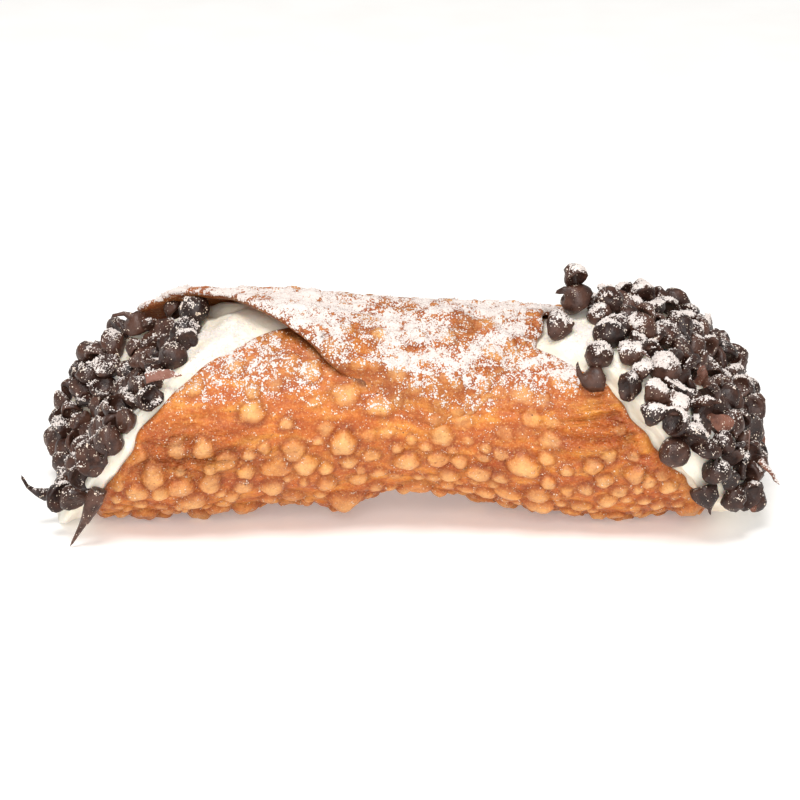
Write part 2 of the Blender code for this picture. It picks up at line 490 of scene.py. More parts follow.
@dataclass(frozen=True)
class Ricotta:
    """Sweetened ricotta: a moist, off-white cream that light enters a little way, with
    the fine grain of its curds."""

    pale: str = "fbf3e4"
    warm: str = "f1e4cd"
    lump: float = 5 * MM
    curd: float = 0.7 * MM
    curd_height: float = 0.12  # in millimetres
    roughness: float = 0.42
    see_through: float = 0.3
    light_depth: float = 2 * MM
    depth_of_each: tuple[float, float, float] = (1.0, 0.7, 0.45)  # red, green and blue

    def make(self, sugar: IcingSugar) -> bpy.types.Material:
        """The finish, with icing sugar over it.

        Args:
            sugar: the icing sugar.

        Returns:
            The material.
        """
        material, shader, node = new_material("ricotta_cream")
        place = node("TexCoord", out="Object")
        lumps, curds = (
            node("TexNoise", {"Vector": place, "Scale": 1 / size, "Detail": detail})
            for size, detail in ((self.lump, 3.0), (self.curd, 2.0))
        )
        colour = node("ValToRGB", {0: lumps}, [(0.35, self.warm), (0.62, self.pale)])
        relief = node("Math", {0: curds, 1: self.curd_height}, operation="MULTIPLY")
        sugar.dust(node, shader, place, colour, self.roughness, relief, self.pale)
        inputs = ("Subsurface Weight", "Subsurface Radius", "Subsurface Scale")
        values = (self.see_through, self.depth_of_each, self.light_depth)
        set_inputs(shader, dict(zip(inputs, values)))
        return material


@dataclass(frozen=True)
class Chocolate:
    """Dark chocolate drops, deposited warm and set: a satin dark brown, a little paler
    where cocoa butter has bloomed or a drop has snapped."""

    name: str = "dark_chocolate"
    dark: str = "1d0e0a"
    middle: str = "351e16"
    bloom: str = "54362a"
    patch: float = 2.2 * MM
    scuff: float = 0.5 * MM
    scuff_height: float = 0.16  # in millimetres
    unlike: float = 0.35  # how much the drops differ
    roughness: float = 0.4
    gloss: float = 0.4

    def make(self, sugar: IcingSugar) -> bpy.types.Material:
        """The finish, with icing sugar over it.

        Args:
            sugar: the icing sugar.

        Returns:
            The material, which reads each drop's "tone".
        """
        material, shader, node = new_material(self.name)
        place = node("TexCoord", out="Object")
        patches, scuffs = (
            node("TexNoise", {"Vector": place, "Scale": 1 / size, "Detail": detail})
            for size, detail in ((self.patch, 3.0), (self.scuff, 2.0))
        )
        tone = node("Attribute", attribute_name="tone", out="Fac")
        level = node("Math", {0: tone, 1: self.unlike, 2: patches}, operation="MULTIPLY_ADD")
        tones = [(0.4, self.dark), (0.62, self.middle), (0.9, self.bloom)]
        colour = node("ValToRGB", {0: level}, tones)
        relief = node("Math", {0: scuffs, 1: self.scuff_height}, operation="MULTIPLY")
        sugar.dust(node, shader, place, colour, self.roughness, relief)
        set_inputs(shader, {"Specular IOR Level": self.gloss})
        return material


# ---- The roll ----


@dataclass(frozen=True)
class Roll:
    """The form that the dough is rolled to: narrowest near its middle, wider towards both
    ends, on which it stands, and arched clear of the table between them."""

    waist_radius: float = 0.0187
    waist_x: float = 0.005
    flare: float = 0.0035  # how much wider it is at its ends
    flare_reach: float = 0.055
    arch_x: float = 0.003
    arch_height: float = 0.0054
    arch_reach_left: float = 0.062
    arch_reach_right: float = 0.038
    foot_depth: float = 0.0005  # how far the table flattens the dough
    toe_x: float = 0.046
    toe_lift: float = 0.0016  # how far the right end stands clear of the table
    toe_reach: float = 0.014

    def radius(self, x: Array) -> Array:
        """The dough's outer radius where it is one layer thick."""
        away = np.abs(x - self.waist_x)
        return self.waist_radius + self.flare * ease(0, self.flare_reach, away)

    def axis(self, x: Array) -> Array:
        """The height of the roll's axis above the table.

        Args:
            x: places along the roll.

        Returns:
            The heights.
        """
        reach = np.where(x < self.arch_x, self.arch_reach_left, self.arch_reach_right)
        away = np.minimum(1.0, np.abs(x - self.arch_x) / reach)
        arch = self.arch_height * np.cos(away * pi / 2) ** 2
        toe = self.toe_lift * ease(0, self.toe_reach, x - self.toe_x)
        return self.radius(x) + arch + toe - self.foot_depth

    def points(self, x: Array, angle: Array, radius: Array) -> Array:
        """Points round the roll.

        Args:
            x: places along the roll.
            angle: directions round it.
            radius: distances from its axis.

        Returns:
            Positions, in one more dimension.
        """
        x, angle, radius = np.broadcast_arrays(x, angle, radius)
        turn = np.radians(angle)
        return np.stack(
            (x, -radius * np.sin(turn), self.axis(x) - radius * np.cos(turn)), axis=-1
        )


ROLL = Roll()
MEAN_RADIUS = 0.0205  # turns angles into lengths round the dough


# ---- The dough ----


Waves = tuple[tuple[float, float, float], ...]


@dataclass(frozen=True)
class Outline:
    """The oval that the sheet of dough is cut to, laid out along and round the roll. Its
    two edges along the roll overlap: the front one lies under the other, the tongue."""

    half_length: float = 0.0620
    middle_angle: float = -5.5  # where the sheet is longest
    front_span: float = 171.0  # from there to the edge in front
    tongue_span: float = 264.0  # and to the end of the tongue
    taper: float = 0.95  # the tongue narrows sooner than an oval, whose taper is 0.5
    skew: float = 0.0070
    skew_start: float = 175.0
    skew_span: float = 90.0
    blunt: float = 3.2 * MM  # widens the end of the tongue
    hollow: float = 2.6 * MM  # how far the right edge is drawn in at the front
    hollow_angle: float = 86.0
    hollow_width: float = 30.0
    rear_reach: float = 6.0 * MM  # how much further the left edge reaches at the back
    rear_angle: float = -146.0
    rear_width: float = 28.0
    draw_back: float = 8.8 * MM  # how far the tongue's right edge is pulled in
    draw_angle: float = -164.0
    draw_width: float = 35.0
    calm_width: float = 6 * MM  # where the sheet is narrower its edges are straighter
    wobble: float = 0.35 * MM
    left_waves: Waves = ((1.0, 7.3, 1.0), (1.0, 12.1, 0.0), (0.7, 19.7, 0.0))
    right_waves: Waves = ((1.0, 6.1, 0.0), (1.0, 11.3, 2.0), (0.7, 23.3, 0.0))
    step: float = 0.5  # over which an edge's slope is measured

    def lean(self, angle: Array) -> Array:
        """How far the tongue leans to the right as it comes over the top."""
        return self.skew * ease(0, self.skew_span, -angle - self.skew_start)

    def sides(self, angle: Array) -> tuple[Array, Array]:
        """How far the sheet reaches from its middle line.

        Args:
            angle: places round the roll.

        Returns:
            How far it reaches to the left and to the right.
        """
        beyond = angle - self.middle_angle
        span = np.where(beyond >= 0, self.front_span, self.tongue_span)
        power = np.where(beyond >= 0, 0.5, self.taper)
        share = np.minimum(0.9999, np.abs(beyond) / span)
        narrowed = 1 - share * share
        width = self.half_length * narrowed**power
        tip = np.where(beyond < 0, ease(0.8, 1.0, share), 0.0)
        width = width + self.blunt * narrowed**0.25 * tip
        turn = np.radians(angle)
        left_wave, right_wave = (
            sum(much * np.sin(rate * turn + phase) for much, rate, phase in waves)
            for waves in (self.left_waves, self.right_waves)
        )
        calm = np.minimum(1.0, width / self.calm_width)
        dent = self.hollow * bell(angle, self.hollow_angle, self.hollow_width)
        rear = self.rear_reach * bell(angle, self.rear_angle, self.rear_width)
        drawn = self.draw_back * bell(angle, self.draw_angle, self.draw_width)
        return (
            width + self.wobble * left_wave * calm + rear,
            width + (self.wobble * right_wave - dent - drawn) * calm,
        )

    def place(self, u: Array, v: Array) -> tuple[Array, Array]:
        """Where a point of the flat unit square lies on the rolled sheet.

        Args:
            u: from -1 to 1 across the square.
            v: from -1 to 1 up the square.

        Returns:
            The place along the roll, and the angle round it.
        """
        p, q = u * np.sqrt(1 - v * v / 2), v * np.sqrt(1 - u * u / 2)
        share = np.clip(p / np.sqrt(np.maximum(1e-9, 1 - q * q)), -1.0, 1.0)
        angle = self.middle_angle + np.where(q >= 0, self.front_span, self.tongue_span) * q
        left, right = self.sides(angle)
        return self.lean(angle) + share * np.where(share > 0, right, left), angle

    def margins(self, x: Array, angle: Array) -> tuple[Array, Array]:
        """How far points lie inside the sheet's edges, measured square to them.

        Args:
            x: places along the roll.
            angle: places round it.

        Returns:
            The distances from the left and from the right edge, less than 0 outside.
        """
        arc = MEAN_RADIUS * radians(self.step)
        found = []
        for side, sign in ((0, 1), (1, -1)):
            here, ahead = self.sides(angle)[side], self.sides(angle + self.step)[side]
            slope = (ahead - here) / arc
            inside = here + sign * (x - self.lean(angle))
            found.append(inside / np.sqrt(1 + slope * slope))
        return found[0], found[1]


@dataclass(frozen=True)
class Blister:
    """One bubble that the hot fat raised in the dough."""

    x: float
    angle: float
    width: float
    height: float
    stretch: float = 1.0  # how much longer it is along the roll
    phase: float = 0.0  # turns its lobes
    dent: float = 0.0  # how far its top fell in, as a share of its height
    pale: float = 1.0  # how much paler it is than the dough round it


# Where the plainest blisters lie: (x in millimetres, angle, width in millimetres). The
# flat ones are on the tongue and on the shoulder under its left edge.
PLAIN_BLISTERS = (
    (-40.6, 48, 5.2), (-37, 63, 4.8), (-47, 58, 3.6), (-51, 47, 2.8), (-30, 67, 4.0),
    (-25, 53, 4.8), (-18.4, 69, 5.2), (-20.6, 80, 4.8), (-22, 96, 2.8), (-11, 82, 6.0),
    (-10, 68, 3.6), (-5.6, 72, 3.4), (1.4, 68, 5.2), (7.4, 70, 4.4), (11.6, 70, 3.6),
    (15.4, 63, 4.8), (19.6, 61, 3.2), (17, 41, 4.0), (24, 75, 6.2), (29, 66, 3.6),
    (32.4, 76, 2.8), (36.4, 63, 3.2), (35.6, 46, 4.0), (39.8, 70, 3.6), (43, 61, 3.4),
    (48.6, 67, 3.2), (52.6, 61, 4.0), (48, 51, 2.8),
)
FLAT_BLISTERS = (
    (3, -216, 4.8), (-4, -216, 3.6), (-10.6, -215, 3.5), (9, -215, 4.0), (-40, 118, 4.0),
    (-39, 129, 3.5), (-28.6, 103, 4.8), (-32, 128, 4.0), (-28.5, 114, 3.0),
)


@dataclass(frozen=True)
class Lie:
    """Where the vertices of the sheet lie on the roll."""

    x: Array
    angle: Array
    outer: Array  # 0 on the inner side, 1 on the outer
    bare: Array  # positions on the roll's bare form
    left: Array  # how far inside the sheet's left edge
    right: Array
    tongue_left: Array  # how far inside the left edge of the tongue that lies over it
    tongue_right: Array

    @classmethod
    def of(cls, outline: Outline, flat: Array) -> "Lie":
        """Find where the vertices of the flat slab come to lie.

        Args:
            outline: the sheet's outline.
            flat: the vertices: u, v, and 0 on the inner side to 1 on the outer.

        Returns:
            Their places.
        """
        x, angle = outline.place(flat[:, 0], flat[:, 1])
        bare = ROLL.points(x, angle, ROLL.radius(x))
        own, over = (outline.margins(x, turn) for turn in (angle, angle - 360))
        return cls(x, angle, flat[:, 2], bare, *own, *over)

    @property
    def margin(self) -> Array:
        """How far inside the sheet's nearest edge."""
        return np.maximum(0.0, np.minimum(self.left, self.right))

    @property
    def under(self) -> Array:
        """How far under the tongue the front layer lies, less than 0 beside it."""
        covered = np.minimum(self.tongue_left, self.tongue_right)
        return np.where(self.angle > 60, covered, -1.0)


@dataclass(frozen=True)
class Browning:
    """How strongly each part of the sheet takes on its tint, from 0 to 1. The tints beside the
    tongue's edge, in the grooves and on the inner side are painted shade, and the one on the
    dough under the tongue is painted shadow.
    """

    hem_pale: float = 0.75
    # Painted shade beside the tongue's edge and between its pressed lines.
    seam_shade_strength: float = 0.5
    hollow_crease: float = 0.3
    # Painted shade in the wrinkles' grooves.
    groove_shade_strength: float = 0.6
    curl_toast: float = 0.45
    rim_toast: float = 0.6
    patch_toast: float = 0.25
    # Painted shade on the inner side.
    inner_shade: float = 0.5
    tongue_toast: float = 0.38
    tongue_patches: float = 0.4
    curl_scorch: float = 0.4
    # Painted shade on the inner side.
    inner_dark_shade: float = 0.4
    # Painted shadow on the dough under the tongue.
    gap_shadow_strength: float = 0.85


@dataclass
class DoughSheet:
    """The fried dough: one sheet, rolled up, blistered and browned."""

    outline: Outline = Outline()
    browning: Browning = Browning()
    thickness: float = 0.0019
    columns: int = 88
    rows: int = 106
    seal_gap: float = 0.0005  # between the tongue and the front layer
    climb: tuple[float, float] = (138.0, 188.0)  # where the tongue rises onto that layer
    curl_height: float = 2.9 * MM
    curl_width: float = 17 * MM
    curl_edge: float = 0.72  # how high the very edge stands, as a share of the curl
    curl: tuple[float, float, float] = (176.0, 204.0, 241.0)  # where it starts, tops, ends
    sealed_lift: float = 0.05  # the share of the step that is left at a sealed edge
    rim: float = 1.2 * MM  # how far in from its edge the sheet is rounded off
    settle: float = 0.55 * MM  # how far the dough between the blisters drew in
    lump: float = 0.38 * MM
    lump_size: float = 10 * MM
    ragged: float = 0.5 * MM  # how uneven the dough is underneath
    flake: float = 3.2 * MM  # a fold of dough that hangs down under the front
    flake_x: float = -12.5 * MM
    bead: float = 0.22 * MM  # height of the two lines along the tongue's right edge
    wrinkle: float = 1.45 * MM
    wrinkle_size: float = 2.6 * MM
    wrinkle_stretch: float = 5.5  # how much longer than wide the ridges are
    grain: float = 0.10 * MM
    dense: float = 0.34  # height of a blister's dome, as a share of its width
    flatter: float = 0.19  # the same for the flat ones
    flat: float = 0.13  # and for the flattest of the scattered ones
    nearest: float = 0.47  # how close two blisters stand, as a share of their widths
    roundness: float = 2.4  # above 2 a dome is flatter on top and steeper at its edge
    steepness: float = 0.62
    lobes: tuple[float, float] = (0.07, 0.05)  # how far its outline is out of round
    on_tongue: float = 0.28  # how thickly they stand there, as crowding says
    on_shoulders: float = 0.10
    elsewhere: float = 0.26
    darts: int = 9000
    seed: int = 7
    blisters: list[Blister] = field(default_factory=list)

    # -- Blisters --

    def crowding(self, x: float, angle: float) -> float:
        """How thickly blisters stand at a place.

        Args:
            x: the place along the roll.
            angle: the place round it.

        Returns:
            1 low on both sides, where the dough lay deepest in the fat, to 0.
        """
        if angle < -178:
            return self.on_tongue
        if abs(x) > 30 * MM and 86 < angle < 128:
            return self.on_shoulders
        turn = np.float64(angle)
        low_front = ease(96.0, 78.0, turn) * ease(-40.0, -10.0, turn)
        low_back = ease(-118.0, -92.0, turn) * ease(-20.0, -40.0, turn)
        return float(max(self.elsewhere, low_front, 0.9 * low_back))

    def scatter_blisters(self) -> None:
        """Raise the plain blisters, then fill in the rest at random, as many as fit."""
        rng = np.random.default_rng(self.seed)
        for table, ratio in ((PLAIN_BLISTERS, self.dense), (FLAT_BLISTERS, self.flatter)):
            for x, angle, width in table:
                height = ratio * width * rng.uniform(0.85, 1.1)
                stretch = rng.uniform(0.92, 1.15)
                turn = rng.uniform(0, 2 * pi)
                dent, pale = rng.uniform(-0.6, 0.5), rng.uniform(0.85, 1.0)
                bubble = (x * MM, angle, width * MM, height * MM, stretch, turn)
                self.blisters.append(Blister(*bubble, max(0.0, dent), pale))
        around = [(b.x, MEAN_RADIUS * radians(b.angle), b.width) for b in self.blisters]
        taken = np.array(around)
        for _ in range(self.darts):
            angle = rng.uniform(-268, 164)
            left, right = self.outline.sides(np.float64(angle))
            x = rng.uniform(-left, right) + float(self.outline.lean(np.float64(angle)))
            crowd = self.crowding(x, angle)
            chance, size = rng.uniform(), rng.uniform() ** 1.3
            turn, stretch = rng.uniform(0, 2 * pi), rng.uniform(0.88, 1.2)
            flatness = rng.uniform(0.8, 1.15)
            if chance > crowd**1.5:
                continue
            width = between(between(2.6, 2.1, crowd), between(5.6, 6.0, crowd), size) * MM
            arc = MEAN_RADIUS * radians(angle)
            gaps = np.hypot(taken[:, 0] - x, taken[:, 1] - arc)
            if np.any(gaps < self.nearest * (taken[:, 2] + width)):
                continue
            ratio = between(self.flat, self.dense, ease(0.4, 0.95, np.float64(crowd)))
            height = float(ratio) * width * flatness
            dent, pale = max(0.0, rng.uniform(-0.6, 0.6)), rng.uniform(0.6, 1.0)
            self.blisters.append(Blister(x, angle, width, height, stretch, turn, dent, pale))
            taken = np.vstack((taken, (x, arc, width)))

    def raise_blisters(self, x: Array, angle: Array) -> tuple[Array, Array, Array]:
        """How the blisters shape the sheet.

        Args:
            x: places along the roll.
            angle: places round it.

        Returns:
            The height that they add, how far up a dome each place is, from 0 to 1, and
            how much painted shade it gets in the ring round the foot of one.
        """
        arc = MEAN_RADIUS * np.radians(angle)
        height, dome, crease = (np.zeros(len(x)) for _ in range(3))
        for bubble in self.blisters:
            reach = bubble.width * 0.8
            middle = MEAN_RADIUS * radians(bubble.angle)
            beside, above = np.abs(x - bubble.x), np.abs(arc - middle)
            near = np.flatnonzero((beside < reach) & (above < reach))
            along = (x[near] - bubble.x) / bubble.stretch
            across = (arc[near] - middle) * bubble.stretch
            turn = np.arctan2(across, along)
            lobes = 1 + self.lobes[0] * np.sin(3 * turn + bubble.phase)
            lobes += self.lobes[1] * np.sin(5 * turn + 2 * bubble.phase)
            away = np.hypot(along, across) / (bubble.width / 2) / lobes
            rise = np.maximum(0.0, 1 - away**self.roundness) ** self.steepness
            fallen = 1 - bubble.dent * bell(away, 0.1, 0.5)
            height[near] = np.maximum(height[near], bubble.height * rise * fallen)
            pale = bubble.pale * min(1.0, bubble.height / (0.7 * MM))
            tone = np.maximum(0.0, 1 - away * away)
            dome[near] = np.maximum(dome[near], tone * pale * fallen)
            # Painted shade in a ring round the foot of each dome.
            ring = bell(away, 1.1, 0.26) * min(1.0, bubble.height / (1.0 * MM))
            crease[near] = np.maximum(crease[near], ring)
        return height, dome, crease * ease(0.3, 0.0, dome)

    # -- The sheet --

    def seal(self, x: Array, angle: Array) -> Array:
        """How firmly the tongue is stuck down.

        Args:
            x: places along the roll.
            angle: places round it.

        Returns:
            1 at its right edge and its tip, and at its left edge past the part that
            curls up, to 0.
        """
        left, right = self.outline.margins(x, angle)
        back = -angle
        on_right = ease(8 * MM, 0.8 * MM, right) * ease(188, 204, back)
        on_left = ease(9 * MM, 0.6 * MM, left) * ease(232, 241, back)
        return np.maximum(on_right, on_left)

    def lift(self, x: Array, angle: Array) -> Array:
        """How far the sheet stands above the single layer: the tongue climbs onto the
        front layer, and part of its left edge curls up.

        Args:
            x: places along the roll.
            angle: places round it.

        Returns:
            The heights.
        """
        back = -angle
        step = (self.thickness + self.seal_gap) * ease(*self.climb, back)
        step = step * (1 - (1 - self.sealed_lift) * self.seal(x, angle))
        left, _ = self.outline.margins(x, angle)
        curl = ease(self.curl_width, 3 * MM, left)
        curl = curl * between(self.curl_edge, 1.0, ease(0, 4 * MM, left))
        start, top, end = self.curl
        along = ease(start, top, back) * (1 - ease(top, end, back))
        return step + self.curl_height * curl * along

    def wrinkles(self, x: Array, angle: Array, points: Array) -> tuple[Array, Array]:
        """Ridges that run along the roll, where the dough drew in towards its ends.

        Args:
            x: places along the roll.
            angle: places round it.
            points: where they lie.

        Returns:
            The height that they add, and how wrinkled each place is, from 0 to 1.
        """
        arc = MEAN_RADIUS * np.radians(angle)
        places = np.stack((x / self.wrinkle_stretch, arc, 0 * x), axis=-1)
        ridges = 2.4 * np.abs(cloud(places, self.wrinkle_size, 3.0)) - 0.7
        right = 0.85 * bell(x, 44 * MM, 14 * MM) * bell(angle, 102, 22)
        left = bell(x, -42 * MM, 12 * MM) * bell(angle, 82, 16)
        rear = bell(angle, -120, 30) * 0.3
        top = bell(angle, -200, 34) * 0.25
        share = np.clip(right + left + rear + top + 0.12, 0, 1)
        share = share * ease(-6 * MM, 6 * MM, points[:, 2] - 4 * MM)
        return self.wrinkle * ridges * share, share

    def build(self) -> bpy.types.Mesh:
        """Lay out a flat slab, refine its outer side, roll it up and raise its relief.

        Returns:
            The finished mesh, with its attributes for the material.
        """
        shape = bmesh.new()
        bmesh.ops.create_grid(shape, x_segments=self.columns, y_segments=self.rows, size=1)
        made = bmesh.ops.extrude_face_region(shape, geom=shape.faces[:])["geom"]
        top = [part for part in made if isinstance(part, bmesh.types.BMVert)]
        bmesh.ops.translate(shape, verts=top, vec=(0, 0, 1))
        faces = [part for part in made if isinstance(part, bmesh.types.BMFace)]
        edges = list({edge for face in faces for edge in face.edges})
        bmesh.ops.subdivide_edges(shape, edges=edges, cuts=2, use_grid_fill=True)
        bmesh.ops.recalc_face_normals(shape, faces=shape.faces)
        mesh = to_mesh(shape, "shell")
        flat = positions(mesh)
        self.scatter_blisters()
        self.roll_up(mesh, flat)
        face_outwards(mesh)
        return mesh

    def roll_up(self, mesh: bpy.types.Mesh, flat: Array) -> None:
        """Carry the flat slab's vertices to their places on the roll.

        Args:
            mesh: the slab.
            flat: its vertices: u, v, and 0 on the inner side to 1 on the outer.
        """
        lie = Lie.of(self.outline, flat)
        x, angle, outer, bare = lie.x, lie.angle, lie.outer, lie.bare
        height, dome, crease = self.raise_blisters(x, angle)
        buried = ease(0.3 * MM, 2.0 * MM, lie.under)
        away = ease(0.4 * MM, 2.2 * MM, lie.margin) * (1 - buried)
        lumps = self.lump * cloud(bare, self.lump_size, 1.0, 2)
        ragged = bell(angle, 10, 26) * cloud(bare, 2.4 * MM, 5.0, 2) * self.ragged
        ragged = ragged + self.flake * bell(x, self.flake_x, 6.5 * MM) * bell(angle, 22, 15)
        hem = ease(200, 212, -angle) * ease(265, 254, -angle)
        hem = hem * (0.8 + 0.5 * cloud(bare, 3 * MM, 27.0))
        lines = [bell(lie.right, inside, 0.45 * MM) for inside in (0.8 * MM, 2.4 * MM)]
        pressed = hem * (lines[0] + 0.8 * lines[1])
        wrinkles, wrinkled = self.wrinkles(x, angle, bare)
        sunk = np.maximum(bell(angle, 20, 60), bell(angle, -190, 50))
        drawn_in = self.settle * (0.4 + 0.6 * sunk)
        grain = self.grain * cloud(bare, 1.3 * MM, 9.0)
        relief = lumps + (height + wrinkles + grain + ragged) * away * outer
        relief = relief + self.bead * pressed * outer
        k = 1 - np.clip(lie.margin / self.rim, 0, 1)
        rounded = (1 - np.sqrt(1 - k * k)) * 0.45 * self.thickness
        inwards = self.thickness * (1 - outer)
        side = np.where(outer > 0.5, -1.0, 1.0)
        radius = ROLL.radius(x) + self.lift(x, angle) + relief - drawn_in - inwards
        points = ROLL.points(x, angle, radius + side * rounded)
        points[:, 2] = np.maximum(0.02 * MM * (1 - outer), points[:, 2])
        move_vertices(mesh, points)
        pale = np.maximum(dome * away, self.browning.hem_pale * pressed)
        paint(mesh, "blister", np.clip(pale * outer, 0, 1))
        paint(mesh, "fold", wrinkled * away * (1 - dome))
        # The tints carry painted shade and painted shadow as well as the browning.
        tones = self.brown(lie, crease * away, wrinkles, hem)
        for name, values in tones.items():
            paint(mesh, name, np.clip(values, 0, 1))

    def brown(self, lie: Lie, crease: Array, wrinkles: Array, hem: Array) -> dict[str, Array]:
        """How dark the frying left each place, and where shade and shadow are painted on.

        Args:
            lie: where the vertices lie.
            crease: how much painted shade each gets round the foot of a blister.
            wrinkles: the height that the wrinkles add.
            hem: how firmly the tongue's right edge is pressed down.

        Returns:
            The amounts of the three dark tints, by name, with the painted shade and painted
            shadow in them.
        """
        much, bare, back = self.browning, lie.bare, -lie.angle
        # Painted shade just outside the tongue's edge, and between the pressed lines on its
        # right.
        seam_shade = bell(lie.under, -0.3 * MM, 0.5 * MM) * ease(150, 100, lie.angle)
        seam_shade = np.maximum(seam_shade * (lie.angle > 85), hem * bell(lie.right, 1.6 * MM, 0.4 * MM))
        # Random darker spots, and painted shade along the wrinkles' grooves.
        spots_and_groove_shade = ease(0.0, -0.9, cloud(bare, 3.2 * MM, 12.0, 2)) * much.hollow_crease
        spots_and_groove_shade = spots_and_groove_shade + much.groove_shade_strength * ease(0.0, -0.6 * self.wrinkle, wrinkles)
        curl = much.curl_toast * ease(3.4 * MM, 1.4 * MM, lie.left) * ease(168, 190, back)
        curl = curl * ease(244, 234, back) * (0.8 + 0.6 * cloud(bare, 1.6 * MM, 25.0))
        rims = much.rim_toast * bell(lie.margin, 0.0, 0.7 * MM)
        rims = rims * (1 - self.seal(lie.x, lie.angle))
        patches = ease(0.35, 1.0, cloud(bare, 9 * MM, 21.0, 2)) * much.patch_toast
        inner = 1 - lie.outer
        tongue = much.tongue_toast + much.tongue_patches * cloud(bare, 5 * MM, 29.0, 2)
        tongue = ease(100, 150, np.abs(lie.angle)) * tongue
        edge = bell(lie.left, 0.0, 0.5 * MM) * ease(168, 190, back) * ease(242, 232, back)
        # Painted shadow on the front layer where the tongue lies over it.
        gap_shadow = ease(-0.5 * MM, 0.6 * MM, lie.tongue_left)
        gap_shadow = gap_shadow * ease(4 * MM, 9 * MM, lie.tongue_right) * ease(112, 118, lie.angle)
        # The inner side is darkened with painted shade, in both tints.
        scorch = much.curl_scorch * edge + much.inner_dark_shade * inner
        return {
            "crease": np.maximum(crease, much.seam_shade_strength * seam_shade) + spots_and_groove_shade,
            "toast": curl + rims + patches + much.inner_shade * inner + tongue,
            "scorch": scorch + much.gap_shadow_strength * gap_shadow,
        }


# ---- The cream ----


@dataclass(frozen=True)
class DomedEnd:
    """One end of the roll, where the cream swells out of its slanting opening."""

    side: int  # -1 for the left end, 1 for the right
    reach: float  # from the middle to the dome's rim, along the bottom
    notch: float  # how far the rim draws back towards the middle at the top
    notch_angle: float
    notch_front: float
    notch_back: float
    swell: float  # how far the cream at the rim stands beyond the dough, in front
    sink: float  # how much lower it lies at the back and the top
    dome_out: float  # where the dome's crown lies, from its middle
    dome_up: float
    heap_edge: float  # where the drops end, as the dome's angle from its crown
    heap_edge_under: float  # how much sooner they end underneath
    crest: float = 0.0  # how far the bare band bulges under the tongue's edge
    crest_angle: float = 156.0
    crest_width: float = 34.0
    sink_angle: float = -150.0
    underside: float = 56.0  # how far round from the bottom that reaches
    lowest: float = 8.5 * MM  # how low the drops' middles reach
    lowest_start: float = 0.0
    lowest_rise: float = 0.0  # how much higher that is for each metre further out
    flatness: float = 1.0  # above 1 the dome's shoulders are drawn in
    lip_margin: float = 1 * MM
    floor: float = 0.1 * MM
    give: float = 1.6 * MM  # how far up from the table the cream is rounded off

    @property
    def heart(self) -> Array:
        """A point well inside the dome."""
        return np.array((self.side * 45 * MM, 0, 22 * MM))

    def rim_x(self, angle: Array) -> Array:
        """Where the dome starts.

        Args:
            angle: the direction round the roll.

        Returns:
            The place along the roll.
        """
        past = (angle - self.notch_angle + 180) % 360 - 180
        width = np.where(past > 0, self.notch_back, self.notch_front)
        return self.side * (self.reach - self.notch * np.exp(-((past / width) ** 2)))

    def rim_radius(self, x: Array, angle: Array) -> Array:
        """The radius of the cream in the opening, where it swells past the dough."""
        share = (1 + np.cos(np.radians(angle - self.sink_angle))) / 2
        return ROLL.radius(x) + self.swell - self.sink * share

    def dome(self, crown: Array, angle: Array) -> Array:
        """Points of the dome.

        Args:
            crown: degrees from the dome's crown, 90 at its rim.
            angle: the direction round the roll.

        Returns:
            Positions; past the rim they follow the bare band towards the dough.
        """
        crown, angle = np.broadcast_arrays(crown, angle)
        x = self.rim_x(angle)
        rim = ROLL.points(x, angle, self.rim_radius(x, angle))
        middle_x = float(self.rim_x(np.float64(0)) + self.rim_x(np.float64(180))) / 2
        middle = np.array((middle_x, 0, float(ROLL.axis(np.float64(middle_x)))))
        top = np.array((self.side * self.dome_out, 0, self.dome_up))
        turn = np.radians(np.minimum(crown, 90.0))[..., None]
        up, out = np.sin(turn) ** self.flatness, np.cos(turn) ** self.flatness
        points = middle + (rim - middle) * up + top * out
        band = self.band(np.maximum(0.0, crown - 90.0) / 20, angle)
        points = np.where((crown > 90)[..., None], band, points)
        return self.rested(points)

    def rested(self, points: Array) -> Array:
        """Let the cream settle on the table.

        Args:
            points: positions, which are changed.

        Returns:
            The positions, none of them under the floor.
        """
        above = points[..., 2] - self.floor
        soft = self.give * np.exp(np.minimum(0.0, above / self.give - 1))
        points[..., 2] = self.floor + np.where(above < self.give, soft, above)
        return points

    def lowest_at(self, x: Array) -> Array:
        """How low the drops' middles reach, at places along the roll."""
        return self.lowest + self.lowest_rise * np.maximum(0.0, np.abs(x) - self.lowest_start)

    def lip_x(self, angle: Array) -> Array:
        """Where the cream goes in under the dough.

        Args:
            angle: the direction round the roll.

        Returns:
            The place along the roll.
        """
        around = (angle + 180) % 360 - 180
        reach = [np.minimum(*OUTLINE.sides(turn)) for turn in (around, around - 360)]
        covered = np.maximum(reach[0], reach[1]) + self.lip_margin
        return self.side * np.minimum(covered, np.abs(self.rim_x(angle)) - self.lip_margin)

    def band(self, share: Array, angle: Array) -> Array:
        """Points of the bare band between the drops and the dough.

        Args:
            share: 0 at the dome's rim to 1 under the dough.
            angle: the direction round the roll.

        Returns:
            Positions.
        """
        lip = self.lip_x(angle)
        x = between(self.rim_x(angle), lip, share)
        inner = ROLL.radius(x) - TUBE_DEPTH
        radius = between(self.rim_radius(x, angle), inner, ease(0.45, 1.0, share))
        bulge = np.sin(pi * np.clip(share, 0, 1)) ** 2
        radius = radius + self.crest * bulge * bell(angle, self.crest_angle, self.crest_width)
        return self.rested(ROLL.points(x, angle, radius))


